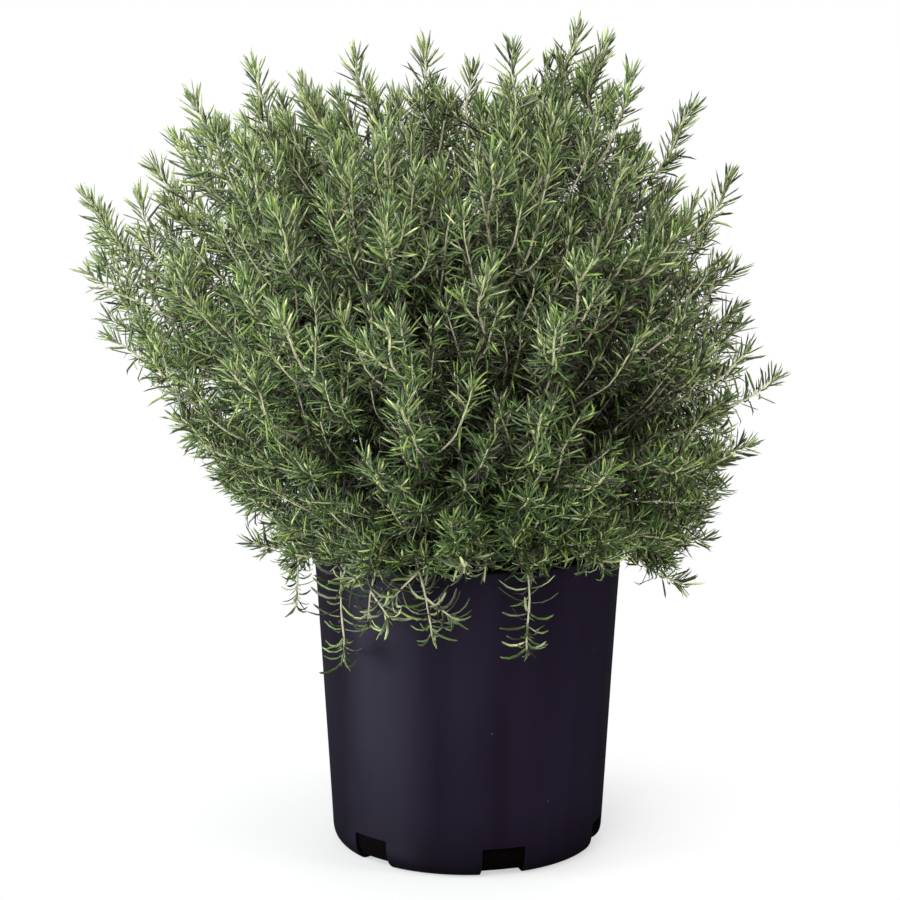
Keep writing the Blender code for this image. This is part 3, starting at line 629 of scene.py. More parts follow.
def stem_places(youth_and_shade, count):
    """each corner's place on the leaf map, in ring_faces' order: age with painted shade
    runs along the map, from old wood to green tip, and the way round crosses the stems' lanes"""
    low, high = STEM_LANES
    lane = low + (high - low) * np.arange(count + 1) / count
    u = 0.02 + 0.96 * np.asarray(youth_and_shade)
    j, k = np.meshgrid(np.arange(len(u) - 1), np.arange(count), indexing="ij")
    quad_u = np.stack([u[j], u[j], u[j + 1], u[j + 1]], axis=-1)
    quad_v = np.stack([lane[k], lane[k + 1], lane[k + 1], lane[k]], axis=-1)
    middle = (lane[:-1] + lane[1:]) / 2
    start_u = np.tile([max(u[0] - 0.01, 0.005), u[0], u[0]], count)
    start_v = np.stack([middle, lane[1:], lane[:-1]], axis=-1)
    end_u = np.tile([u[-1], u[-1], min(u[-1] + 0.01, 0.99)], count)
    end_v = np.stack([lane[:-1], lane[1:], middle], axis=-1)
    return np.stack([np.concatenate([quad_u.ravel(), start_u, end_u]),
                     np.concatenate([quad_v.ravel(), start_v.ravel(), end_v.ravel()])], axis=-1)


def tube(points, sides, overs, radii, count, youth_and_shade=None, finish=0):
    """rings about the path: point + radius (cos a side + sin a over), closed at each
    end to a middle point that stands out a little"""
    a = np.arange(count) * 2 * math.pi / count
    ring = np.cos(a)[None, :, None] * sides[:, None] + np.sin(a)[None, :, None] * overs[:, None]
    rings = points[:, None] + ring * np.asarray(radii)[:, None, None]
    ends = np.stack([points[0] - (points[1] - points[0]) * END_BULGES[0],
                     points[-1] + (points[-1] - points[-2]) * END_BULGES[1]])
    places = None if youth_and_shade is None else stem_places(youth_and_shade, count)
    points = np.concatenate([rings.reshape(-1, 3), ends])
    return Shape(points, *ring_faces(len(rings), count), places, finish)


print("a stem's lanes on the map:", STEM_LANES)

# %% [markdown]
# ## Where the stems grow
#
# The solids' stems follow paths that one seeded rule draws: limbs leave a short
# trunk, three sprays sit on each, and every spray divides toward tips spread over
# the bush's outer shell. The same rule with the same numbers is repeated here, so
# each dressed spray lies along its own solid. Reading the stems back out of the
# solids' meshes would be possible, but a rule is exact and short.

# %% Sizes of pot, trunk and limbs
POT_HEIGHT = 0.290
LIP_RADIUS = 0.146
LIP_HEIGHT = 0.010
MIX_TOP = 0.262
SEAT_GAP = 0.0003
TRUNK_FOOT = 0.200
TRUNK_RADII = (0.0085, 0.0050)
TRUNK_LOW_FORK = 0.318
TRUNK_TOP = 0.385
LIMB_RADII = (0.0045, 0.0030)
LIMB_SHARE = 0.42
LIMB_STEP = 0.032
LIMB_PULL = 0.04
LIMB_UPWARD = 0.25
LOW_LIMBS_RAISED = 0.035
CURVE_POINTS = 16
CROWN = np.array((0.0, 0.0, 0.305))
print("pot", POT_HEIGHT, "m high, mix to", MIX_TOP, "m, stems spread from", tuple(CROWN))

# %% Numbers of the growth rule
REACH_LEANS = (0, 20, 45, 60, 75, 90, 110)
REACHES = (0.425, 0.440, 0.400, 0.340, 0.275, 0.222, 0.195)
LOPSIDED = (0.09, -0.08)
LOPSIDED_LEANS = (60, 90)
OUTLINE = (
    (-104, 0.184), (-94, 0.212), (-84, 0.238), (-76, 0.256), (-69, 0.295), (-62, 0.365),
    (-55, 0.430), (-48.6, 0.474), (-41.5, 0.455), (-37, 0.460), (-32, 0.480), (-25.5, 0.481),
    (-20.5, 0.448), (-13, 0.459), (-5.3, 0.457), (0, 0.431), (5.4, 0.457), (12.4, 0.487),
    (15.6, 0.475), (19.5, 0.455), (28.4, 0.450), (37.4, 0.415), (45, 0.355), (55, 0.328),
    (65, 0.330), (73, 0.282), (84, 0.254), (95, 0.236), (104, 0.218),
)
NEEDLES_PAST_TIP = 0.020
OUTLINE_DEPTHS = (0.015, -0.030, 0.040)
INNERMOST = 0.170
LOWEST_LEAN = 106
FRONT_CUT = 18
TIP_SPACING = 0.085
SPACING_EASES = 0.95
TIP_TRIES = 300
TIP_DEPTH = 0.62
TIP_CROWDING = 1.6
SHOOTS = 162
LIFT_LEANS = (0, 50, 80, 105)
LIFTS = (0.25, 0.42, 0.32, 0.08)
LEFT_LIFT = 0.2
LIMB_SPLITS = (2, 3, 3)
SPRAY_PLACES = (1.0, 0.84, 0.66)
SEED = 7
HANGING_PLACE = 0.40
LEFT_HANGING = (
    ((-0.045, -0.155, 0.312), (-0.032, -0.172, 0.240)),
    ((-0.074, -0.144, 0.310), (-0.090, -0.156, 0.246)),
    ((-0.108, -0.122, 0.308), (-0.112, -0.128, 0.206)),
    ((-0.141, -0.090, 0.310), (-0.158, -0.078, 0.244)),
)
RIGHT_HANGING = (
    ((0.050, -0.156, 0.314), (0.052, -0.170, 0.226)),
    ((0.000, -0.165, 0.318), (-0.004, -0.205, 0.304)),
    ((0.095, -0.140, 0.316), (0.118, -0.172, 0.300)),
)
HANGING_FORKS = (0.0, 0.30, 0.18, 0.24)
STEP = 0.006
print(SHOOTS, "shoots on", math.prod(LIMB_SPLITS), "limbs,", len(OUTLINE), "of them on the outline")

# %% Paths and lengths
def unit(v):
    """v, or each row of v, at length one"""
    v = np.asarray(v, float)
    return v / np.linalg.norm(v, axis=-1, keepdims=True)


def bezier(start, leaving, end, arriving, count):
    """count points along a Bezier curve, whose handles are start + leaving and
    end - arriving: it leaves one way and arrives the other"""
    t = np.linspace(0, 1, count)[:, None]
    near, far = start + leaving, end - arriving
    return start * (1 - t) ** 3 + 3 * near * t * (1 - t) ** 2 + 3 * far * t * t * (1 - t) + end * t ** 3


def lengths_of(path):
    """the length along the path up to each of its points"""
    return np.concatenate([[0], np.cumsum(np.linalg.norm(np.diff(path, axis=0), axis=1))])


def points_at(path, places):
    """the points at these lengths along the path"""
    lengths = lengths_of(path)
    return np.stack([np.interp(places, lengths, path[:, k]) for k in range(3)], axis=-1)


def resampled(path, step):
    """the path with evenly spaced points, about a step apart"""
    length = lengths_of(path)[-1]
    count = max(3, int(round(length / step)) + 1)
    return points_at(path, np.linspace(0, length, count))


def smoothed(path):
    """the path with its kinks eased, its ends kept"""
    for _ in range(2):
        path = path.copy()
        path[1:-1] = 0.25 * path[:-2] + 0.5 * path[1:-1] + 0.25 * path[2:]
    return path


print("a metre of path has", len(resampled(np.array([(0, 0, 0), (0, 0, 1.0)]), STEP)), "points")

# %% Tips over the bush's shell
def reach(direction):
    """how far stems reach from the crown: farther at the left, low down at the right"""
    lean = math.degrees(math.acos(direction[2]))
    lopsided = np.interp(lean, LOPSIDED_LEANS, LOPSIDED)
    return np.interp(lean, REACH_LEANS, REACHES) * (1 - lopsided * direction[0]) - NEEDLES_PAST_TIP


def outline_tips():
    """tips on the bush's left and right outline, near the plane of its axis"""
    tips = []
    for number, (lean, far) in enumerate(OUTLINE):
        a = math.radians(lean)
        far = far - NEEDLES_PAST_TIP
        depth = OUTLINE_DEPTHS[number % len(OUTLINE_DEPTHS)]
        tips.append(CROWN + (far * math.sin(a), depth, far * math.cos(a)))
    return tips


def drawn_tip(rng):
    """a tip drawn anywhere in the bush's outer shell, but not as low at the front; the
    power of the last draw crowds the tips toward the outside"""
    turn = rng.uniform(0, 2 * math.pi)
    lowest = math.radians(LOWEST_LEAN - FRONT_CUT * max(0.0, -math.sin(turn)))
    height = rng.uniform(math.cos(lowest), 1)
    flat = math.sqrt(1 - height * height)
    direction = np.array((flat * math.cos(turn), flat * math.sin(turn), height))
    far = reach(direction)
    return CROWN + direction * (far - (far - INNERMOST) * TIP_DEPTH * rng.uniform() ** TIP_CROWDING)


def all_tips(rng):
    """the outline's tips and others among them, as evenly spread as they fit"""
    tips = outline_tips()
    spacing = TIP_SPACING
    while len(tips) < SHOOTS:
        for _ in range(TIP_TRIES):
            tip = drawn_tip(rng)
            if len(tips) < SHOOTS and min(np.linalg.norm(tip - t) for t in tips) >= spacing:
                tips.append(tip)
        spacing *= SPACING_EASES
    return np.array(tips)


print("the first outline tip:", outline_tips()[0].round(3))

# %% How shoots end, and how they are shared out
def tip_way(tip):
    """the direction in which a shoot ends: outward, turned toward upright, more so
    at the left and at middle leans"""
    out = unit(tip - CROWN)
    lean = math.degrees(math.acos(out[2]))
    lift = np.interp(lean, LIFT_LEANS, LIFTS) - LEFT_LIFT * out[0]
    return unit(out * (1 - lift) + np.array((0, 0, lift)))


def divided(members, ways, splits):
    """members in equal groups, split again and again across their widest spread"""
    if not splits:
        return [members]
    axis = np.argmax(np.ptp(ways[members], axis=0))
    order = members[np.argsort(ways[members, axis], kind="stable")]
    groups = []
    for part in np.array_split(order, splits[0]):
        groups += divided(part, ways, splits[1:])
    return groups


print("a tip at the far left ends the way", tip_way(CROWN + (-1, 0, 0)).round(2))

# %% Paths that keep clear of each other and of the pot
CLEAR = 0.0075
POT_CLEAR = 0.012
BOWS = (0, 0.012, 0.024, 0.038)
BOW_TURNS = 8
BOW_POINTS = 24
BOW_LEAVING, BOW_LEAVING_STRAIGHT, BOW_ARRIVING = 0.33, 0.16, 0.36


def off_pot(path):
    """the path lifted over the lip or pushed out from the wall where it is too near"""
    path = path.copy()
    flat = np.linalg.norm(path[:, :2], axis=1)
    top = POT_HEIGHT + POT_CLEAR
    side = LIP_RADIUS + POT_CLEAR
    near = (flat > 0.10) & (flat < side) & (path[:, 2] < top)
    lift = near & (top - path[:, 2] <= (side - flat) * 1.5)
    path[lift, 2] = top
    push = near & ~lift
    path[push, :2] *= (side / flat[push])[:, None]
    return path


def bowed(start, way, end, end_way, straight, bow):
    """a curve from start to end that bows out sideways by bow; its first part
    is straight, so that a stem's flat end sits square on what it grows from"""
    first = start + way * straight
    span = np.linalg.norm(end - first)
    pull = BOW_LEAVING_STRAIGHT if straight else BOW_LEAVING
    path = bezier(first, way * span * pull, end, end_way * span * BOW_ARRIVING, BOW_POINTS)
    t = np.linspace(0, 1, BOW_POINTS)[:, None]
    path = path + bow * np.sin(math.pi * t) ** 1.5
    path = resampled(off_pot(smoothed(off_pot(path))), STEP)
    return np.concatenate([[start], path]) if straight else path


def clear_path(start, way, end, end_way, others, free, straight):
    """the straightest of a set of bowed paths that keeps clear of the others"""
    along = unit(end - start)
    side = unit(np.cross(along, (0.31, 0.17, 0.93)))
    over = np.cross(side, along)
    best, widest = None, -1
    for size in BOWS:
        for turn in range(BOW_TURNS if size else 1):
            a = turn * 2 * math.pi / BOW_TURNS
            bow = size * (math.cos(a) * side + math.sin(a) * over)
            path = bowed(start, way, end, end_way, straight, bow)
            rest = path[np.linalg.norm(path - start, axis=1) > free]
            gap = np.linalg.norm(rest[:, None] - others[None], axis=-1).min() if len(rest) else 1.0
            if gap > widest:
                best, widest = path, gap
            if gap >= CLEAR:
                return path
    return best


print("paths try", 1 + (len(BOWS) - 1) * BOW_TURNS, "bows to keep", CLEAR, "m apart")

# %% Limbs, and where sprays and forks sit
STRAIGHT = 0.007
FORK_ANGLE = 27
FORK_SHARES = (0.16, 0.62)
FORK_TURN = 0.8
SHORTEST_SHOOT = 0.085
DEGREES_PER_METRE_SHORT = 2000
SEAT_SPAN = 0.03
FREE_AT_LIMB = 0.016


def fork_of(main, tip):
    """where on the main shoot the side shoot to this tip forks off: where the angle
    is nearest the fork angle and enough length is left"""
    first, last = (int(share * len(main)) for share in FORK_SHARES)
    ks = np.arange(max(first, 2), last)
    to_tip = tip - main[ks]
    heading = unit(main[ks + 1] - main[ks - 1])
    angle = np.degrees(np.arccos(np.clip((heading * unit(to_tip)).sum(1), -1, 1)))
    missing = np.clip(SHORTEST_SHOOT - np.linalg.norm(to_tip, axis=1), 0, None)
    return int(ks[np.argmin(np.abs(angle - FORK_ANGLE) + missing * DEGREES_PER_METRE_SHORT)])


def limb_path(tips):
    """a limb from the trunk to where the stems to these tips divide"""
    middle = tips.mean(axis=0)
    way = unit(middle - CROWN)
    rise = max(way[2], 0.0)
    root = np.array((0, 0, TRUNK_LOW_FORK + (TRUNK_TOP - TRUNK_LOW_FORK) * rise))
    end = CROWN + (middle - CROWN) * LIMB_SHARE + (0, 0, LOW_LIMBS_RAISED * (1 - rise))
    out = unit(way + (0, 0, LIMB_UPWARD))
    return resampled(bezier(root, out * LIMB_PULL, end, way * LIMB_PULL, CURVE_POINTS), LIMB_STEP)


def seat_on(limb, place, aim):
    """start and direction of a spray at this place of the limb: at its end
    onward, elsewhere square to the limb toward aim"""
    length = lengths_of(limb)[-1]
    if place == 1.0:
        way = unit(limb[-1] - limb[-2])
        return limb[-1] + way * SEAT_GAP, way
    places = length * np.array((place - SEAT_SPAN, place, place + SEAT_SPAN))
    before, point, after = points_at(limb, places)
    along = unit(after - before)
    off = aim - point
    way = unit(off - along * (off @ along))
    radius = np.interp(place, (0, 1), LIMB_RADII)
    return point + way * (radius + SEAT_GAP), way


print("side shoots fork off at", FORK_ANGLE, "degrees")

# %% Sprays
def hanging_path(start, way, over, tip, straight):
    """a shoot that crosses the lip at over and hangs down to its tip"""
    out = unit(over * (1, 1, 0))
    begin = start + way * straight
    first = bezier(begin, way * 0.03, over, out * 0.035, CURVE_POINTS)
    fall = np.linalg.norm(tip - over)
    down = unit(tip - over - (0, 0, 0.05))
    second = bezier(over, out * 0.018, tip, down * 0.4 * fall, CURVE_POINTS)
    path = resampled(np.concatenate([first, second[1:]]), STEP)
    return np.concatenate([[start], path]) if straight else path


def hanging_spray(limb, rows):
    """the shoots of a spray that hangs over the lip, each with its place on the first"""
    start, way = seat_on(limb, HANGING_PLACE, np.array(rows[0][0]))
    shoots = []
    for (over, tip), share in zip(rows, HANGING_FORKS):
        k = 0
        if shoots:
            main = shoots[0][0]
            k = int(share * (len(main) - 1))
            start, way = main[k], unit(main[k + 1] - main[k])
        shoots.append((hanging_path(start, way, np.array(over), np.array(tip), 0 if k else STRAIGHT), k))
    return shoots


def upright_spray(limb, place, tips, others):
    """the shoots of a spray to these tips: a main one to the farthest, forks to the rest"""
    start, way = seat_on(limb, place, tips.mean(axis=0))
    tips = tips[np.argsort(-np.linalg.norm(tips - start, axis=1))]
    main = clear_path(start, way, tips[0], tip_way(tips[0]), others, FREE_AT_LIMB, STRAIGHT)
    shoots = [(main, 0)]
    for tip in tips[1:]:
        k = fork_of(main, tip)
        way = unit(unit(main[k + 1] - main[k]) + FORK_TURN * unit(tip - main[k]))
        shoots.append((clear_path(main[k], way, tip, tip_way(tip), others, 0.0, 0), k))
    return shoots


def nearest_limb(limbs, spot):
    """the limb whose end is nearest to the spot"""
    return min(limbs, key=lambda limb: np.linalg.norm(limb[-1] - np.array(spot)))


print("hanging stems:", len(LEFT_HANGING), "at the left,", len(RIGHT_HANGING), "at the right")

# %% The grown plant
def grown():
    """the limbs' paths, and for each spray its shoots"""
    tips = all_tips(np.random.default_rng(SEED))
    ways = unit(tips - CROWN)
    cells = divided(np.arange(SHOOTS), ways, LIMB_SPLITS)
    limbs = [limb_path(tips[cell]) for cell in cells]
    taken = [resampled(limb, STEP) for limb in limbs]
    sprays = []
    for side, rows in ((-1, LEFT_HANGING), (1, RIGHT_HANGING)):
        spot = (0.05 * side, -0.08, 0.34)
        sprays.append(hanging_spray(nearest_limb(limbs, spot), rows))
        taken += [path for path, _ in sprays[-1]]
    for limb, cell in zip(limbs, cells):
        onward = unit(limb[-1] - limb[-2])
        groups = divided(cell, ways, (len(SPRAY_PLACES),))
        groups.sort(key=lambda g: -float(unit(tips[g].mean(axis=0) - limb[-1]) @ onward))
        for place, group in zip(SPRAY_PLACES, groups):
            sprays.append(upright_spray(limb, place, tips[group], np.concatenate(taken)))
            taken += [path for path, _ in sprays[-1]]
    return limbs, sprays


limbs, sprays = grown()
print(len(limbs), "limbs,", len(sprays), "sprays,", sum(len(s) for s in sprays), "shoots")

# %% [markdown]
# ## Check the paths against the solids
#
# Each spray's path has to lie inside the box of its own solid; a seed or number
# copied wrongly would show at once.

# %% Names, and the check
def solid_name(number):
    """the spray's solid: two hanging ones come first, then the leafy ones from 01"""
    return f"hanging_spray_{number + 1}" if number < 2 else f"leafy_spray_{number - 1:02d}"


def stray(number):
    """how far the spray's paths stick out of its solid's box"""
    low, high = (np.array(corner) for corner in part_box(solid_name(number)))
    points = np.concatenate([path for path, _ in sprays[number]])
    return float(max((low - points).max(), (points - high).max(), 0))


print(f"paths stray at most {max(stray(k) for k in range(len(sprays))) * 1000:.2f} mm from their solids")

# %% [markdown]
# ## Stems with their frames
#
# A needle has to know which way its stem runs. Each stem keeps, at every point,
# its heading and two directions square to it, carried along without twisting.
# Real shoots bend a little at each pair of leaves, so two waves of unlike length
# are added to each path; a smooth curve would look like wire.

# %% Frames and bends
KINDS = ("shoot", "twig", "hanging", "inner")


def by_kind(*values):
    """a table with one value for each kind of stem, in the order of KINDS"""
    return dict(zip(KINDS, values))


UNLIKE_AN_AXIS = (0.36, 0.48, 0.80)
SWAY = by_kind(0.0016, 0.0010, 0.0005, 0.0012)
SWAY_WAVES = (0.058, 0.091, 0.067, 0.104)
SWAY_GROWS_OVER = 0.035
SWAY_PHASES = np.array((913.0, 571.0, 1283.0))


def frames(path):
    """at each point of the path its heading and two directions square to it,
    carried along without turning about the path"""
    headings = unit(np.gradient(path, axis=0))
    side = unit(np.cross(headings[0], UNLIKE_AN_AXIS))
    sides = []
    for heading in headings:
        side = unit(side - heading * (side @ heading))
        sides.append(side)
    sides = np.array(sides)
    return headings, sides, np.cross(headings, sides)


def crooked(path, sway):
    """the path bent a little from node to node: two waves in each direction square
    to it, growing from nothing at its base; its own end sets their phases"""
    lengths = lengths_of(path)
    _, sides, overs = frames(path)
    phase = float(path[-1] @ SWAY_PHASES)
    a, b, c, d = (np.sin(2 * math.pi * lengths / wave + phase * (k + 1))
                  for k, wave in enumerate(SWAY_WAVES))
    grow = sway * np.clip(lengths / SWAY_GROWS_OVER, 0, 1)
    return path + sides * ((a + b) * grow)[:, None] + overs * ((c + d) * grow)[:, None]


print("stems bend in waves of", min(SWAY_WAVES), "to", max(SWAY_WAVES), "m")

# %% One stem
class Stem:
    """a path with its frames, its radii at base and tip, and how it behaves"""

    def __init__(self, path, radii, kind, bare, vigour=1.0):
        path = crooked(path, SWAY[kind])
        self.path, self.radii, self.kind, self.bare, self.vigour = path, radii, kind, bare, vigour
        self.lengths = lengths_of(path)
        self.length = self.lengths[-1]
        self.frames = frames(path)

    def at(self, places):
        """points, headings and two side directions at these lengths along the stem"""
        k = np.interp(places, self.lengths, np.arange(len(self.path)))
        low = np.minimum(k.astype(int), len(self.path) - 2)
        mix = (k - low)[:, None]
        found = [self.path[low] * (1 - mix) + self.path[low + 1] * mix]
        return found + [unit(f[low] * (1 - mix) + f[low + 1] * mix) for f in self.frames]

    def radius(self, places):
        """the radius at these lengths, in a straight taper"""
        return np.interp(places / self.length, (0, 1), self.radii)


def depth_in(points):
    """how far the points lie under the bush's outer shell, toward its crown"""
    off = points - CROWN
    far = np.linalg.norm(off, axis=-1)
    lean = np.degrees(np.arccos(np.clip(off[..., 2] / np.maximum(far, 1e-6), -1, 1)))
    return np.interp(lean, REACH_LEANS, REACHES) - far


print("the crown lies", float(depth_in(CROWN + (0, 0, 1e-3)).round(3)), "m under the top of the shell")

# %% [markdown]
# ## Twigs
#
# The solids hold only the long shoots. A real bush has short leafy twigs on each of
# them, and old ones deep inside, which close its shell. The twigs follow the golden
# angle round their shoot, stay within the shell, and are made as Bezier curves, so
# that each leaves its shoot at 37 degrees and ends turned along it.

# %% Numbers of the side twigs
MAIN_RADII = (0.0022, 0.0011)
SIDE_RADII = (0.0017, 0.0010)
TWIG_RADII = (0.0012, 0.0007)
HANGING_RADII = (0.0013, 0.0008)
TWIG_GAP = 0.025
OUTLINE_GAP = 0.019
FRINGE_GAP = 0.010
FRINGE_HEIGHT = 0.375
STICKS_OUT = -0.018
INSIDE_STICKING_TIP = 0.030
TWIGS_FROM, TWIGS_FROM_SHARE = 0.022, 0.08
NO_TWIGS_AT_TIP = 0.020
JITTER = 0.3
TWIG_SHARE = 0.80
TWIG_SIZES = (0.55, 1.1)
LEAVES_ALONG, LEAVES_OUT = 0.80, 0.60
TWIG_PULL = 0.35
TWIG_STEP = 0.009
TWIG_BARE = 0.004
PAST_STEM_END = 0.016
TWIG_LONGEST = 0.150
TWIG_SHORTEST = 0.019
DROOP_BELOW = 0.40
FRONT_FROM = 0.03
SETS_IN_OVER = 0.08
LEAST_FRONT_HEIGHT = 0.302
LEAST_HEIGHT = 0.276
POT_FRONT = (0.06, 0.17)
CUT_BACK = 0.82
SHELL_MARGIN = 0.010
GOLDEN = math.radians(137.5)
print("side twigs every", TWIG_GAP, "m, in the fringe over the lip every", FRINGE_GAP, "m")

# %% Side twigs
def twig_path(start, heading, out, length, limit):
    """a short curve that leaves the shoot sideways and turns along it and up; where
    the shoot runs low it droops at the sides, but not over the pot's front; one that
    would end farther from the crown than limit and the shell is cut back"""
    low = float(np.clip((DROOP_BELOW - start[2]) / SETS_IN_OVER, 0, 1))
    front = float(np.clip((-start[1] - FRONT_FROM) / SETS_IN_OVER, 0, 1))
    away = unit(heading * LEAVES_ALONG + out * LEAVES_OUT)
    rise = 0.30 + 0.70 * front - (0.50 - 0.10 * front) * low
    end_way = unit(heading * 0.85 + out * 0.20 + np.array((0, 0, rise)))
    end = start + unit(away * 0.45 + end_way * 0.55) * length
    for _ in range(5):
        if np.linalg.norm(end - CROWN) < max(limit, reach(unit(end - CROWN)) - SHELL_MARGIN):
            break
        end = start + (end - start) * CUT_BACK
    before_pot = front > 0.5 or (-end[1] > POT_FRONT[0] and abs(end[0]) < POT_FRONT[1])
    end[2] = max(end[2], LEAST_FRONT_HEIGHT if before_pot else LEAST_HEIGHT)
    span = np.linalg.norm(end - start)
    path = bezier(start, away * span * TWIG_PULL, end, end_way * span * TWIG_PULL, 12)
    return resampled(off_pot(path), TWIG_STEP), span


def twigs_on(stem, rng):
    """the shoot's side twigs, each turned by the golden angle from the last; they
    stand closer where the shoot runs low, and make the fringe over the lip"""
    low = float(stem.path[:, 2].mean()) < FRINGE_HEIGHT
    sticks_out = float(depth_in(stem.path[-1])) < STICKS_OUT
    gap = FRINGE_GAP if low else OUTLINE_GAP if sticks_out else TWIG_GAP
    limit = np.linalg.norm(stem.path[-1] - CROWN) - INSIDE_STICKING_TIP if sticks_out else 0
    first = max(TWIGS_FROM, TWIGS_FROM_SHARE * stem.length)
    places = np.arange(first, stem.length - NO_TWIGS_AT_TIP, gap)
    places = places + rng.uniform(-JITTER, JITTER, len(places)) * gap
    points, headings, sides, overs = stem.at(places)
    if stem.kind == "hanging":
        above = points[:, 2] > POT_HEIGHT + 0.008
        rows = (places, points, headings, sides, overs)
        places, points, headings, sides, overs = (row[above] for row in rows)
    turn = rng.uniform(0, 2 * math.pi)
    twigs = []
    for k, place in enumerate(places):
        turn += GOLDEN + rng.uniform(-JITTER, JITTER)
        out = math.cos(turn) * sides[k] + math.sin(turn) * overs[k]
        length = min(TWIG_SHARE * (stem.length - place) + PAST_STEM_END, TWIG_LONGEST)
        length *= rng.uniform(*TWIG_SIZES)
        if length < TWIG_SHORTEST:
            continue
        path, span = twig_path(points[k], headings[k], out, length, limit)
        if span > TWIG_SHORTEST * 0.8:
            twigs.append(Stem(path, TWIG_RADII, "twig", TWIG_BARE))
    return twigs


print("a shoot of 0.2 m bears about", int((0.2 - TWIGS_FROM - NO_TWIGS_AT_TIP) / TWIG_GAP), "side twigs")

# %% Old twigs inside, and twigs on hanging stems
INNER_SHOOTS = 9
INNER_PLACES = (0.12, 0.95)
INNER_LENGTHS = (0.06, 0.140)
INNER_STEP = 0.010
HANGING_TWIGS = (0.10, 0.48)
HANGING_TWIG_LENGTHS = (0.026, 0.036)


def inner_shoots(limb, rng):
    """a few old leafy twigs on the limb itself, which fill the middle of the bush"""
    shoots = []
    places = rng.uniform(*INNER_PLACES, INNER_SHOOTS) * lengths_of(limb)[-1]
    points, ahead = points_at(limb, places), points_at(limb, places + 0.004)
    for point, heading in zip(points, unit(ahead - points + (0, 0, 1e-6))):
        turn = rng.uniform(0, 2 * math.pi)
        side = unit(np.cross(heading, UNLIKE_AN_AXIS))
        out = math.cos(turn) * side + math.sin(turn) * np.cross(heading, side)
        way = unit(heading * 0.5 + out * 0.7 + np.array((0, 0, 0.35)))
        length = rng.uniform(*INNER_LENGTHS)
        end_way = unit(unit(point - CROWN) * 0.5 + way * 0.3 + np.array((0, 0, 0.4)))
        end = point + unit(way * 0.6 + end_way * 0.4) * length
        path = bezier(point, way * length * TWIG_PULL, end, end_way * length * TWIG_PULL, 14)
        shoots.append(Stem(resampled(off_pot(path), INNER_STEP), TWIG_RADII, "inner", 0.006))
    return shoots


def collar_shoot(number):
    """an old twig low on the trunk, just over the mix, which closes the bush's foot"""
    turn = number * GOLDEN
    flat = np.array((math.cos(turn), math.sin(turn), 0))
    share = (number * 0.618) % 1.0
    start = flat * 0.006 + (0, 0, 0.284 + 0.045 * share)
    end = flat * (0.095 + 0.060 * ((number * 0.37) % 1.0)) + (0, 0, 0.304 + 0.040 * share)
    path = bezier(start, flat * 0.03 + (0, 0, 0.014), end, flat * 0.04 + (0, 0, 0.004), 14)
    return Stem(resampled(off_pot(path), INNER_STEP), TWIG_RADII, "inner", 0.012)


def hanging_twigs(stem, rng):
    """short side twigs on a hanging stem at the left, spread to both sides of it"""
    twigs = []
    below = stem.lengths[np.argmax(stem.path[:, 2] < POT_HEIGHT + 0.014)]
    for k, share in enumerate(HANGING_TWIGS):
        place = below + (stem.length - below) * share
        point, heading, _, _ = (row[0] for row in stem.at(np.array([place])))
        flat = unit(np.array((point[0], point[1], 0)))
        side = np.cross((0, 0, 1), flat) * (1 if k % 2 else -1)
        way = unit(heading * 0.75 + side * 0.85 + flat * 0.15)
        length = rng.uniform(*HANGING_TWIG_LENGTHS)
        end = point + way * length + (0, 0, 0.002)
        path = bezier(point, way * length * 0.4, end, way * length * 0.2, 10)
        twigs.append(Stem(resampled(off_pot(path), 0.008), TWIG_RADII, "hanging", TWIG_BARE))
    return twigs


print("old twigs on each limb:", INNER_SHOOTS)

# %% All stems of each spray
SUNK = 0.003
PAST_TIP = 0.008
TALLEST = 0.768
TUFT_VIGOUR = 0.60
TUFT_SIDE = -0.15
BARE_FORK, BARE_MAIN = 0.012, 0.035


def stems_of(number, rng):
    """a spray's main shoot, its side shoots and their twigs; the small tuft beyond
    the pot's left edge has shorter needles"""
    hanging = number < 2
    stems = []
    for path, fork in sprays[number]:
        if not fork:
            sunk = path[0] - unit(path[1] - path[0]) * SUNK
            path = np.concatenate([[sunk], path[1:]])
        if not hanging:
            path = np.concatenate([path, [path[-1] + unit(path[-1] - path[-2]) * PAST_TIP]])
            path = path[path[:, 2] < TALLEST]
        radii = HANGING_RADII if hanging else SIDE_RADII if fork else MAIN_RADII
        vigour = TUFT_VIGOUR if path[-1][0] < TUFT_SIDE and hanging else 1.0
        kind = "hanging" if hanging else "shoot"
        stems.append(Stem(path, radii, kind, BARE_FORK if fork else BARE_MAIN, vigour))
    mains = list(stems)
    stems += [twig for stem in mains for twig in twigs_on(stem, rng)]
    if number == 0:
        stems += [twig for stem in mains[:2] for twig in hanging_twigs(stem, rng)]
    if not hanging:
        stems += inner_shoots(limbs[(number - 2) // len(SPRAY_PLACES)], rng) + [collar_shoot(number)]
    return stems


rng = np.random.default_rng(SEED + 20)
STEMS = [stems_of(number, rng) for number in range(len(sprays))]
for kind in KINDS:
    found = [stem.length for spray in STEMS for stem in spray if stem.kind == kind]
    print(kind, len(found), "stems,", round(sum(found), 1), "m")

# %% [markdown]
# ## Needles
#
# Rosemary bears its needles in pairs, each pair turned a quarter from the last,
# with one or two small ones in their armpits. At a shoot's tip they press forward
# and close up. Farther down they spread and arch back toward the base, and low in
# the bush they stand wider still, each with its own lean. On a hanging stem they
# hook upward to the light. Each needle is a closed body that starts in a point
# within the stem, has one to four rings of three corners (left edge, ridge, right
# edge) and ends in a tip. Particles or instances could scatter them, but would be
# lost on the way to other programs.

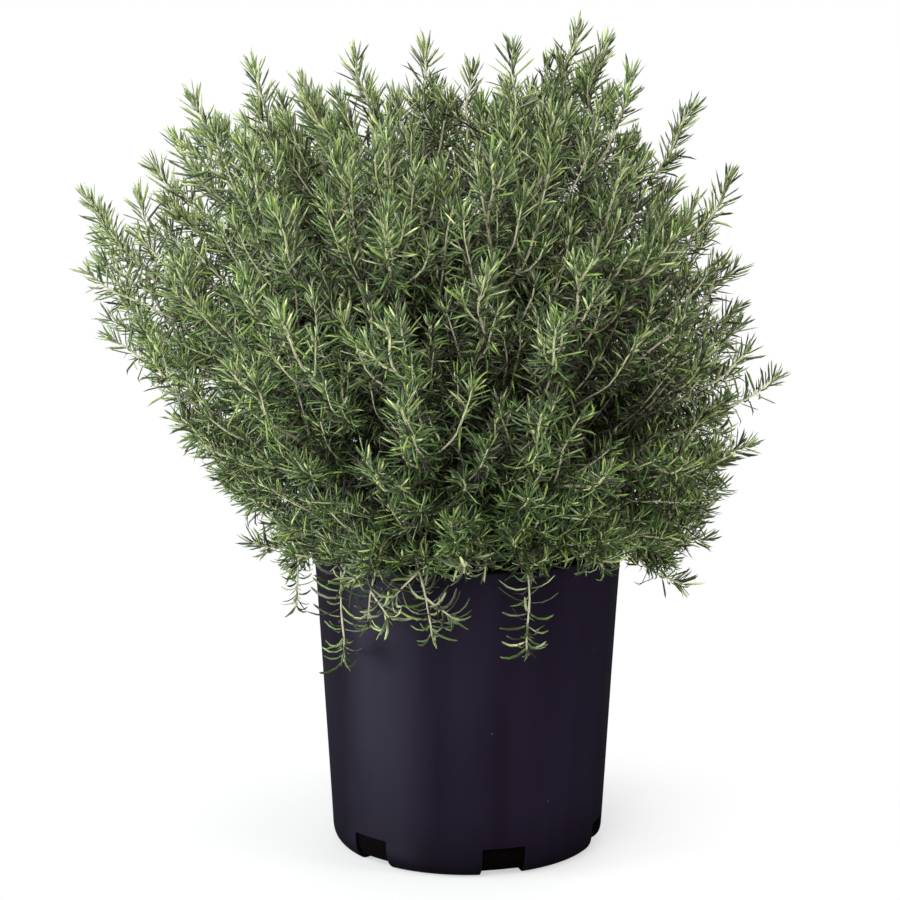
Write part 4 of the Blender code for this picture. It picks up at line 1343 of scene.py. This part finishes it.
# %% Where the needles stand
PAIR_GAP = by_kind(0.0039, 0.0043, 0.0064, 0.0076)
NEEDLE_LENGTH = by_kind(0.0275, 0.0265, 0.0320, 0.0260)
NEEDLE_LEAN = by_kind(50, 50, 54, 56)
LIGHT_BEND = by_kind(0.75, 0.75, 0.45, 1.0)
ARCH_BACK = by_kind(0.95, 1.05, 0.80, 0.80)
CURL = by_kind(0.55, 0.60, 0.30, 0.60)
HALF_WIDTH = by_kind(0.00106, 0.00100, 0.00122, 0.00125)
SMALL_SHARE = by_kind(0.60, 0.50, 0.40, 0.30)
DISORDER = by_kind(0.22, 0.28, 0.26, 0.60)
PAIR_TURN = math.pi / 2 + 0.12
FULL_GAP_AFTER = 12
GAP_JITTER = (0.7, 1.3)
FULL_SIZES, SMALL_SIZES = (0.74, 1.10), (0.36, 0.72)
SMALL_OPEN_BY = (0.4, 0.85)


def pair_places(stem, rng):
    """lengths along the stem where pairs stand: close at the tip, wider behind it"""
    gap = PAIR_GAP[stem.kind]
    count = int(stem.length / gap * 1.4) + FULL_GAP_AFTER
    opened = 0.28 + 0.72 * np.minimum(1, np.arange(count) / FULL_GAP_AFTER)
    gaps = gap * opened * rng.uniform(*GAP_JITTER, count)
    places = stem.length + 0.0004 - np.cumsum(gaps)
    return places[places > stem.bare]


def leaf_seats(stem, rng):
    """for every needle of the stem: its place along it, the turn about it, its size,
    and how far it opens; small needles stand in the armpits of a pair"""
    pairs = pair_places(stem, rng)
    n = len(pairs)
    turn = np.arange(n) * PAIR_TURN + rng.uniform(0, 6.28)
    seats = []
    mess = DISORDER[stem.kind]
    for side in (0, math.pi):
        seats.append((pairs + rng.normal(0, 0.0030 * mess, n), turn + side + rng.normal(0, mess, n),
                      rng.uniform(*FULL_SIZES, n), np.ones(n)))
        small = rng.uniform(size=n) < SMALL_SHARE[stem.kind]
        m = int(small.sum())
        seats.append((pairs[small] + 0.001, turn[small] + side + rng.normal(0, 0.6, m),
                      rng.uniform(*SMALL_SIZES, m), rng.uniform(*SMALL_OPEN_BY, m)))
    return [np.concatenate(column) for column in zip(*seats)]


print("needles up to", round(max(NEEDLE_LENGTH.values()) * FULL_SIZES[1] * 1000), "mm long")

# %% Numbers of the needles' lean, bend and colour
YOUNG_STRETCH = 0.030
LOW_HEIGHTS = (0.44, 0.62)
THINNED_DEPTHS, THINNED = (0.11, 0.26), (1.0, 0.45)
WIDER_DEPTHS, WIDER = (0.07, 0.14), (1.0, 1.45)
# painted shade: needles deep inside the bush are made darker
DEEP_SHADE_DEPTHS, PAINTED_DEEP_SHADE = (0.05, 0.17), (0, 0.24)
ARCH_FROM_TIP, ARCHES = (0.0, 0.028, 0.110), (-0.60, 0.10, 1.25)
HANGING_FROM_TIP, HANGING_ARCHES = (0.015, 0.110), (0.8, 1.25)
FRESHNESS, FRESH_SPREAD = 0.28, 0.31
# the tall and left terms are painted light: needles high up and at the left are made lighter
YOUNG_FRESHER, TALL_PAINTED_LIGHT, LEFT_PAINTED_LIGHT, TIP_FRESHER = 0.12, 0.18, 0.20, 0.06
HANGING_DULLER = 0.05
PLAIN_BELOW, PLAIN_DEPTH = 0.7, 0.08
UP = np.array((0, 0, 1.0))
print("needles are fully open", YOUNG_STRETCH * 1000, "mm from a tip")

# %% How the needles lean, bend and are coloured
def first_ways(kind, headings, out, open_by, young, low, rng):
    """each needle's first direction: cos lean heading + sin lean out, then jostled;
    the lean is small at the tip, full farther down, and larger low in the bush"""
    lean = np.radians(NEEDLE_LEAN[kind] * open_by * (0.46 + 0.54 * young ** 0.8) * (1 + 0.25 * low))
    lean = lean * rng.uniform(1 - 1.2 * DISORDER[kind], 1 + DISORDER[kind], len(lean))
    way = np.cos(lean)[:, None] * headings + np.sin(lean)[:, None] * out
    return unit(way + rng.normal(0, 0.45 * DISORDER[kind], way.shape))


def pulls(kind, headings, from_tip, young, low, rng):
    """how each needle turns as it grows: up to the light, and back from the tip"""
    n = len(headings)
    bend = LIGHT_BEND[kind] * rng.uniform(0.1, 1.9, n) * (1 - 0.8 * np.clip(headings[:, 2], 0, 1))
    if kind == "hanging":
        back = np.interp(from_tip, HANGING_FROM_TIP, HANGING_ARCHES)
    else:
        back = np.interp(from_tip, ARCH_FROM_TIP, ARCHES) + low * (0.45 + 0.55 * young)
    arch = ARCH_BACK[kind] * rng.uniform(0.2, 1.8, n) * back
    return bend[:, None] * UP - arch[:, None] * headings


def freshness_and_light(points, from_tip, young, depth, rng):
    """0 for the oldest, 1 for the freshest: more at a tip and different from needle to
    needle; raised high up and at the left as painted light, and lowered deep inside
    as painted shade"""
    # painted light: lighter higher up and toward the left
    tall = np.clip((points[:, 2] - 0.32) / 0.40, 0, 1)
    left = np.clip(-points[:, 0] / 0.36, 0, 1)
    fresh_and_lit = FRESHNESS + YOUNG_FRESHER * (1 - young) + TALL_PAINTED_LIGHT * tall + LEFT_PAINTED_LIGHT * left
    fresh_and_lit = fresh_and_lit + TIP_FRESHER * np.exp(-from_tip / 0.05) + rng.normal(0, FRESH_SPREAD, len(points))
    # painted shade: lowered deep inside the bush
    return fresh_and_lit - np.interp(depth, DEEP_SHADE_DEPTHS, PAINTED_DEEP_SHADE)


def needle_rows(stem, rng):
    """root, first direction, flat side, length, pull, curl, width and freshness
    of each needle, and whether it may be plain; a hanging stem's needles are turned
    over, so that their green side is up"""
    places, turn, size, open_by = leaf_seats(stem, rng)
    depth = depth_in(stem.at(places)[0])
    kept = rng.uniform(size=len(places)) < np.interp(depth, THINNED_DEPTHS, THINNED)
    places, turn, size, open_by, depth = (a[kept] for a in (places, turn, size, open_by, depth))
    points, headings, sides, overs = stem.at(np.minimum(places, stem.length))
    kind, from_tip = stem.kind, np.maximum(stem.length - places, 0)
    out = np.cos(turn)[:, None] * sides + np.sin(turn)[:, None] * overs
    young = np.clip(from_tip / YOUNG_STRETCH, 0, 1)
    low = np.interp(points[:, 2], LOW_HEIGHTS, (1, 0))
    way = first_ways(kind, headings, out, open_by, young, low, rng)
    roots = points + out * (stem.radius(places) * 0.35)[:, None]
    length = NEEDLE_LENGTH[kind] * stem.vigour * size * (0.76 + 0.24 * young ** 0.8)
    pull = pulls(kind, headings, from_tip, young, low, rng)
    curl = rng.normal(0, CURL[kind], len(places))
    width = HALF_WIDTH[kind] * np.clip(length / 0.022, 0.66, 1.1) * np.interp(depth, WIDER_DEPTHS, WIDER)
    fresh_and_lit = freshness_and_light(points, from_tip, young, depth, rng)
    flat = np.cross(headings, out)
    if kind == "hanging":
        flat, fresh_and_lit = -flat, fresh_and_lit - HANGING_DULLER
    plain = (size < PLAIN_BELOW) | (depth > PLAIN_DEPTH) | (kind == "inner")
    return roots, way, flat, length, pull, curl, width, np.clip(fresh_and_lit, 0.02, 0.97), plain


print("needles are plain from", PLAIN_DEPTH * 1000, "mm under the shell")

# %% How a needle is shaped
PLAIN_RINGS = ((0.44,), (1.0,))
FULL_RINGS = ((0.25, 0.76), (0.92, 0.94))
FINE_RINGS = ((0.14, 0.38, 0.66, 0.91), (0.78, 1.0, 1.0, 0.70))
THICK_SHARE = 0.72
POT_MARGIN = 0.0015
MOUTH_MARGIN = 0.008
MIX_MARGIN = 0.006


def needle_faces(ts):
    """corners, corner counts and map places of one needle with rings at these shares
    of its length; point 0 is its root, then three for each ring, then its tip"""
    corners, counts, places = [], [], []
    u = [0.02 + 0.44 * t for t in (0.0,) + ts + (1.0,)]
    lane = (-LANE_HALF, 0.0, LANE_HALF)
    last = len(ts) - 1
    for a, b, under in ((0, 1, 0.0), (1, 2, 0.0), (2, 0, 0.5)):
        corners += [0, 1 + a, 1 + b]
        counts.append(3)
        places += [(u[0] + under, 0.0), (u[1] + under, lane[a]), (u[1] + under, lane[b])]
        for j in range(last):
            low, high = 1 + 3 * j, 4 + 3 * j
            corners += [low + a, high + a, high + b, low + b]
            counts.append(4)
            places += [(u[j + 1] + under, lane[a]), (u[j + 2] + under, lane[a]),
                       (u[j + 2] + under, lane[b]), (u[j + 1] + under, lane[b])]
        low = 1 + 3 * last
        corners += [low + a, low + 3, low + b]
        counts.append(3)
        places += [(u[last + 1] + under, lane[a]), (u[last + 2] + under, 0.0),
                   (u[last + 1] + under, lane[b])]
    return np.array(corners), np.array(counts), np.array(places)


def outside_pot(points):
    """for each row of points, whether all keep out of the pot's wall, lip and mix"""
    flat, high = np.linalg.norm(points[..., :2], axis=-1), points[..., 2]
    in_side = (flat < LIP_RADIUS + POT_MARGIN) & (high < POT_HEIGHT + POT_MARGIN)
    in_mouth = (flat < LIP_RADIUS - MOUTH_MARGIN) & (high > MIX_TOP + MIX_MARGIN)
    return ~(in_side & ~in_mouth).any(axis=-1)


print("a fine needle has", len(needle_faces(FINE_RINGS[0])[1]), "faces, a plain one",
      len(needle_faces(PLAIN_RINGS[0])[1]))

# %% Needles as one shape
def needle_shape(roots, way, flat, length, pull, curl, width, fresh_and_lit, rings, rng):
    """needles whose direction turns as they grow: way + pull t + curl t flat, with t
    from 0 at the root to 1 at the tip; each ring has its edges at middle -+ side
    width and its ridge at middle + top width; needles that hit the pot are left out"""
    (ts, widths), count = rings, len(rings[0])
    stops = np.array((0.0,) + ts + (1.0,))
    mids = (stops[1:] + stops[:-1]) / 2
    ways = way[:, None] + pull[:, None] * mids[:, None]
    ways = unit(ways + (curl[:, None] * mids)[..., None] * flat[:, None])
    reaches = ways * (length[:, None] * np.diff(stops))[..., None]
    line = np.concatenate([roots[:, None], roots[:, None] + np.cumsum(reaches, axis=1)], axis=1)
    keep = outside_pot(line[:, 1:])
    line, ways, flat, fresh_and_lit, width = (a[keep] for a in (line, ways, flat, fresh_and_lit, width))
    n = len(line)
    ring_way = unit(ways[:, 1:] + ways[:, :-1])
    side = unit(flat[:, None] - ring_way * (flat[:, None] * ring_way).sum(-1, keepdims=True))
    top = np.cross(ring_way, side)
    roll = rng.normal(0, 1.0, n)[:, None, None]
    side, top = side * np.cos(roll) + top * np.sin(roll), top * np.cos(roll) - side * np.sin(roll)
    wide = width[:, None, None] * np.array(widths)[None, :, None]
    middle = line[:, 1:-1]
    bodies = np.stack([middle - side * wide, middle + top * wide * THICK_SHARE, middle + side * wide],
                      axis=2).reshape(n, 3 * count, 3)
    points = np.concatenate([line[:, :1], bodies, line[:, -1:]], axis=1)
    corners, counts, places = needle_faces(ts)
    corners = corners[None] + (np.arange(n) * (3 * count + 2))[:, None]
    lane = LANE_HALF + 0.002 + (NEEDLE_LANES - 2 * LANE_HALF - 0.004) * fresh_and_lit
    places = np.repeat(places[None], n, axis=0)
    places[..., 1] += lane[:, None]
    return Shape(points, corners, np.tile(counts, n), places, 0), n


print("rings of a full needle stand at", FULL_RINGS[0], "of its length")

# %% [markdown]
# ## One piece for each spray
#
# A spray's stems are tapered tubes, brown and woody at the base and pale green at
# the tip; the base is sunk a little into the limb that carries it. Stems and
# needles of a spray go into one mesh that stands for that spray's solid.

# %% Sprays dressed
STEM_SIDES = by_kind(6, 4, 7, 3)
STEM_STEP = 0.011
# painted shade: the depths over which stems inside the bush are darkened
STEM_SHADE_DEPTHS = (0.04, 0.15)
WOODY_AFTER = by_kind(0.24, 0.32, 0.32, 0.32)
YOUTH = by_kind(1.0, 1.0, 0.72, 0.45)


def stem_shape(stem):
    """a tapered tube along the stem with slight swellings; its place on the map runs
    from 1 at the tip down to 0 where it is old, far back, and is lowered deep inside
    as painted shade"""
    count = max(4, int(stem.length / STEM_STEP))
    lengths = np.linspace(0, stem.length, count)
    points, _, sides, overs = stem.at(lengths)
    # painted shade: stems deep inside the bush move toward the dark end of the map
    deep = np.interp(depth_in(points), STEM_SHADE_DEPTHS, (0, 0.5))
    youth_and_shade = 1.0 - (stem.length - lengths) / WOODY_AFTER[stem.kind] * 0.9 - deep
    youth_and_shade = np.clip(youth_and_shade, 0.05, 0.97) * YOUTH[stem.kind]
    radii = stem.radius(lengths) * (1 + 0.10 * np.sin(lengths * 900 + stem.length * 5000))
    return tube(points, sides, overs, radii, STEM_SIDES[stem.kind], youth_and_shade, finish=1)


def spray_piece(number, rng):
    """all stems and needles of a spray in one mesh; gives the number of needles"""
    shapes, needles = [], 0
    for stem in STEMS[number]:
        shapes.append(stem_shape(stem))
        *rows, plain = needle_rows(stem, rng)
        full = FINE_RINGS if stem.kind == "hanging" else FULL_RINGS
        for chosen, rings in ((plain, PLAIN_RINGS), (~plain, full)):
            if chosen.any():
                shape, n = needle_shape(*(row[chosen] for row in rows), rings, rng)
                shapes.append(shape)
                needles += n
    name = solid_name(number)
    mesh = mesh_of(name + "_leaves", joined(shapes))
    dress(name + "_leaves", mesh, [NEEDLE_LEAF, YOUNG_STEM], "rosemary_leaf", name)
    return needles


rng = np.random.default_rng(SEED + 21)
NEEDLES = [spray_piece(number, rng) for number in range(len(sprays))]
print(sum(NEEDLES), "needles, at most", max(NEEDLES), "on a spray")
print(sum(TRIANGLES.values()), "triangles on", len(TRIANGLES), "sprays, at most", max(TRIANGLES.values()))

# %% [markdown]
# ## The woody frame
#
# Under the leaves a short trunk stands in the mix and forks into limbs. They are
# tubes again, with more sides, and their radius swells and shrinks a little, as
# old rosemary wood does.

# %% Trunk and limbs
SWELLINGS = (90, 210, 460)
WOOD_STEP = 0.008
TRUNK_SIDES, LIMB_SIDES = 14, 9


def knobbly(lengths, radii, seed):
    """radii with slow swellings: the mean of waves of unlike length added"""
    waves = [math.sin(seed * k) + np.sin(lengths * k + seed * k * 1.7) for k in SWELLINGS]
    return radii * (1 + 0.05 * (sum(waves) / len(SWELLINGS)))


def limb_shape(points, radii, sides, seed):
    """a tube along these points, its radius led through these radii and knobbly"""
    path = resampled(points, WOOD_STEP)
    _, side, over = frames(path)
    lengths = lengths_of(path)
    thick = np.interp(lengths / lengths[-1], np.linspace(0, 1, len(radii)), radii)
    return tube(path, side, over, knobbly(lengths, thick, seed), sides)


def woody_frame():
    """the trunk, thickest a little above the mix, and all limbs in one mesh"""
    low, high = TRUNK_RADII
    trunk = np.array([(0, 0, z) for z in (TRUNK_FOOT, MIX_TOP, TRUNK_LOW_FORK, TRUNK_TOP + 0.004)])
    thick = (low, low * 1.02, low * 1.12, low * 0.98, low * 0.9, high)
    shapes = [limb_shape(trunk, thick, TRUNK_SIDES, 0.7)]
    shapes += [limb_shape(limb, LIMB_RADII, LIMB_SIDES, 1.3 * k + 2) for k, limb in enumerate(limbs)]
    mesh = mesh_of("woody_frame", joined(shapes))
    return dress("woody_frame", mesh, [BARK], "branch_bark", "woody_branches")


woody_frame()
print("woody frame:", TRIANGLES["woody_frame"], "triangles")

# %% [markdown]
# ## The pot
#
# The pot's outline is a profile turned about the axis: a rounded lip, a wall that
# narrows downward, a rounded foot and a flat base, then back up inside. The wall
# wavers by up to half a millimetre, as thin blown plastic does, which breaks up the
# highlight. Six slots at the foot are cut with rounded cutters.

# %% Pot numbers
WALL_TOP_RADIUS = 0.1437
WALL_FOOT_RADIUS = 0.1283
FOOT_ROUNDING = 0.014
BASE_RADIUS = 0.114
WALL = 0.0020
FLOOR = 0.0025
SLOTS = 6
SLOT_WIDTH = 0.041
SLOT_TOP = 0.0285
SLOT_INNER_RADIUS = 0.104
FIRST_SLOT_TURN = 15.0
POT_FACETS = 128
WAVER = 0.00022
print("pot:", SLOTS, "slots", SLOT_WIDTH, "m wide, wall", WALL, "m thick, in", POT_FACETS, "facets")

# %% Pot profile
def rounded(points, steps=4):
    """an open profile with its corners cut again and again, its ends kept"""
    points = np.array(points, float)
    for _ in range(steps):
        a, b = points[:-1], points[1:]
        cut = np.stack([a * 0.75 + b * 0.25, a * 0.25 + b * 0.75], axis=1).reshape(-1, 2)
        points = np.concatenate([points[:1], cut[1:-1], points[-1:]])
    return points


def filled(points, step):
    """the profile with no two neighbours farther apart than step, and none closer
    than half a millimetre"""
    out = [points[:1]]
    for a, b in zip(points[:-1], points[1:]):
        n = max(1, int(math.ceil(np.linalg.norm(b - a) / step)))
        out.append(a + (b - a) * (np.arange(1, n + 1) / n)[:, None])
    points = np.concatenate(out)
    far = np.floor(lengths_of(np.column_stack([points, points[:, 0] * 0])) / 0.0005)
    return points[np.concatenate([[True], np.diff(far) > 0])]


def turned(profile, facets, waver=None):
    """a profile of (radius, height) turned about Z, from axis to axis: (radius cos a,
    radius sin a, height); waver adds to each ring's radius at each angle"""
    a = np.arange(facets) * 2 * math.pi / facets
    r, z = profile[1:-1, 0], profile[1:-1, 1]
    radii = np.repeat(r[:, None], facets, axis=1)
    if waver is not None:
        radii = radii + waver(a[None, :], z[:, None])
    heights = np.repeat(z[:, None], facets, axis=1)
    rings = np.stack([radii * np.cos(a), radii * np.sin(a), heights], axis=-1)
    poles = np.array([(0, 0, profile[0, 1]), (0, 0, profile[-1, 1])])
    points = np.concatenate([rings.reshape(-1, 3), poles])
    return Shape(points, *ring_faces(len(r), facets, turned_over=True))


def pot_waver(a, z):
    """how far the wall bulges: slow waves round and up it, none at lip and base"""
    free = np.clip(z / 0.03, 0, 1) * np.clip((POT_HEIGHT - z) / 0.03, 0, 1)
    waves = np.sin(3 * a + 9 * z) + 0.7 * np.sin(7 * a - 14 * z + 1.3) + 0.4 * np.sin(13 * a + 2.1)
    return WAVER * waves * free


def pot_profile():
    """(radius, height) from the floor's middle up inside, over the lip, down outside
    and under the foot to the base's middle"""
    under_lip = POT_HEIGHT - LIP_HEIGHT
    lip, foot, bend = LIP_RADIUS, WALL_FOOT_RADIUS, FOOT_ROUNDING
    outer = [(lip - 0.0034, POT_HEIGHT - 0.0002), (lip - 0.0012, POT_HEIGHT), (lip, POT_HEIGHT - 0.0015),
             (lip, under_lip + 0.0006), (lip - 0.0004, under_lip - 0.0004),
             (WALL_TOP_RADIUS - 0.0003, under_lip - 0.0024), (foot + 0.0006, bend + 0.011), (foot, bend),
             (foot - 0.0020, bend * 0.55), (foot - 0.0062, bend * 0.18),
             (BASE_RADIUS + 0.0030, 0.0003), (BASE_RADIUS, 0.0), (0.030, 0.0), (0.0, 0.0)]
    inner = [(0.0, FLOOR), (BASE_RADIUS - 0.0005, FLOOR), (foot - 0.0058, bend * 0.45),
             (foot - WALL, bend + 0.0005), (lip - WALL - 0.0026, POT_HEIGHT - 0.004),
             (lip - WALL - 0.0022, POT_HEIGHT - 0.0006)]
    return filled(np.concatenate([rounded(inner, 1), rounded(outer, 3)]), 0.030)


print("pot profile:", len(pot_profile()), "points")

# %% Pot with its slots
SLOT_ROUNDING = 0.0022
SHARP_FROM = math.radians(38)


def slot_cutter(turn, helpers):
    """a block with rounded corners that reaches through the foot of the wall"""
    mesh = bpy.data.meshes.new("slot_cutter")
    bm = bmesh.new()
    bmesh.ops.create_cube(bm, size=1)
    depth = LIP_RADIUS + 0.01 - SLOT_INNER_RADIUS
    for vertex in bm.verts:
        vertex.co = Vector((vertex.co.x * depth, vertex.co.y * SLOT_WIDTH, vertex.co.z * SLOT_TOP * 2))
    level = [e for e in bm.edges if abs(e.verts[0].co.x - e.verts[1].co.x) > depth * 0.9]
    bmesh.ops.bevel(bm, geom=level, offset=SLOT_ROUNDING, segments=4, affect="EDGES", profile=0.5)
    bm.to_mesh(mesh)
    bm.free()
    cutter = bpy.data.objects.new("slot_cutter", mesh)
    middle = SLOT_INNER_RADIUS + depth / 2
    cutter.location = (middle * math.cos(turn), middle * math.sin(turn), 0)
    cutter.rotation_euler = (0, 0, turn)
    helpers.objects.link(cutter)


def nursery_pot():
    """the turned pot less its slot cutters, with sharp edges only at the slots"""
    mesh = mesh_of("nursery_pot", turned(pot_profile(), POT_FACETS, pot_waver))
    helpers = bpy.data.collections.new("slot_cutters")
    bpy.context.scene.collection.children.link(helpers)
    for number in range(SLOTS):
        slot_cutter(math.radians(FIRST_SLOT_TURN - 90 + number * 360 / SLOTS), helpers)
    uncut = in_scene(bpy.data.objects.new("uncut_pot", mesh))
    cut = uncut.modifiers.new("slots", "BOOLEAN")
    cut.operation = "DIFFERENCE"
    cut.solver = "EXACT"
    cut.operand_type = "COLLECTION"
    cut.collection = helpers
    bpy.context.view_layer.update()
    seen = uncut.evaluated_get(bpy.context.evaluated_depsgraph_get())
    finished = bpy.data.meshes.new_from_object(seen)
    finished.name = "nursery_pot"
    for helper in list(helpers.objects) + [uncut]:
        bpy.data.objects.remove(helper, do_unlink=True)
    bpy.data.collections.remove(helpers)
    finished.shade_smooth()
    finished.set_sharp_from_angle(angle=SHARP_FROM)
    return dress("nursery_pot", finished, [POT_PLASTIC], "pot_plastic", "pot")


nursery_pot()
print("pot:", TRIANGLES["nursery_pot"], "triangles")

# %% [markdown]
# ## The mix
#
# The mix fills the pot to 28 mm under the lip: a closed body that follows the inside
# of the pot, with a lumpy top, and crumbs of bark lying on it. Each crumb is a block
# of twenty faces, stretched and turned at random. Scattered instances could stand
# for the crumbs, but arrays give one closed mesh.

# %% The mix's surface and profile
DOME_HEIGHT, LUMP_HEIGHT = 0.0035, 0.0011
MIX_FACETS = 72
MIX_GAP = 0.0005


def lumps(x, y):
    """height of the mix's surface: a low dome with waves of several sizes"""
    flat = np.hypot(x, y)
    waves = np.sin(70 * x + 3) * np.cos(64 * y)
    waves = waves + 0.7 * np.sin(150 * x - 90 * y) + 0.5 * np.cos(240 * y + 170 * x)
    free = np.clip((0.138 - flat) / 0.02, 0, 1)
    return MIX_TOP + DOME_HEIGHT * (1 - (flat / 0.14) ** 2) + LUMP_HEIGHT * waves * free


def mix_profile():
    """(radius, height) that follows the pot's inside just clear of it, turned over so
    that it starts at the floor's middle"""
    edge = LIP_RADIUS - WALL - 0.0022
    foot = (WALL_FOOT_RADIUS - WALL, FOOT_ROUNDING + 0.0005)
    share = (MIX_TOP - foot[1]) / (POT_HEIGHT - foot[1])
    rim = foot[0] + (edge - foot[0]) * share - 0.0009
    return filled(np.array([
        (0.0, MIX_TOP), (rim - 0.002, MIX_TOP), (rim, MIX_TOP - 0.002),
        (foot[0] - 0.0009, foot[1] + 0.001), (WALL_FOOT_RADIUS - 0.0068, FOOT_ROUNDING * 0.45 + MIX_GAP),
        (BASE_RADIUS - 0.0012, FLOOR + MIX_GAP), (0.0, FLOOR + MIX_GAP)]), 0.009)[::-1]


print("mix profile:", len(mix_profile()), "points, middle", round(float(lumps(0, 0)), 4), "m high")

# %% Crumbs, and the mix as a piece
CRUMBS = 320
CRUMB_RADII = (0.0012, 0.0044)
CRUMB_STRETCH, CRUMB_KNOCK, CRUMB_RISE = (0.45, 1.0), 0.13, 0.3
CRUMBS_WITHIN = 0.136


def ball():
    """the twelve corners and twenty faces of a round crumb"""
    bm = bmesh.new()
    bmesh.ops.create_icosphere(bm, subdivisions=1, radius=1)
    bm.verts.ensure_lookup_table()
    points = np.array([v.co[:] for v in bm.verts])
    faces = np.array([[v.index for v in f.verts] for f in bm.faces])
    bm.free()
    return points, faces


def crumb_shape(rng):
    """balls with knocked corners, each stretched by its size, turned by a about Z, and
    sunk by a part of its height into the mix's surface"""
    points, faces = ball()
    turn = rng.uniform(0, 6.28, CRUMBS)
    flat = CRUMBS_WITHIN * np.sqrt(rng.uniform(0.01, 1, CRUMBS))
    x, y = flat * np.cos(turn), flat * np.sin(turn)
    size = rng.uniform(*CRUMB_RADII, CRUMBS)[:, None] * rng.uniform(*CRUMB_STRETCH, (CRUMBS, 3))
    knock = 1 + rng.normal(0, CRUMB_KNOCK, (CRUMBS, len(points), 1))
    a = rng.uniform(0, 6.28, CRUMBS)[:, None]
    body = points[None] * knock * size[:, None]
    body = np.stack([body[..., 0] * np.cos(a) - body[..., 1] * np.sin(a),
                     body[..., 0] * np.sin(a) + body[..., 1] * np.cos(a), body[..., 2]], axis=-1)
    where = np.stack([x, y, lumps(x, y) + size[:, 2] * CRUMB_RISE], axis=-1)
    corners = faces.ravel()[None] + (np.arange(CRUMBS) * len(points))[:, None]
    return Shape(body + where[:, None], corners, np.full(CRUMBS * len(faces), 3))


def mix_piece(rng):
    """the turned mix with its top raised into lumps, and the crumbs on it"""
    body = turned(mix_profile(), MIX_FACETS)
    top = body.points[:, 2] > MIX_TOP - 0.0005
    body.points[top, 2] = lumps(body.points[top, 0], body.points[top, 1])
    mesh = mesh_of("potting_mix_crumbs", joined([body, crumb_shape(rng)]), smooth=False)
    return dress("potting_mix_crumbs", mesh, [POTTING_MIX], "potting_mix", "potting_mix")


mix_piece(np.random.default_rng(SEED + 22))
print("mix:", TRIANGLES["potting_mix_crumbs"], "triangles; in all", sum(TRIANGLES.values()))
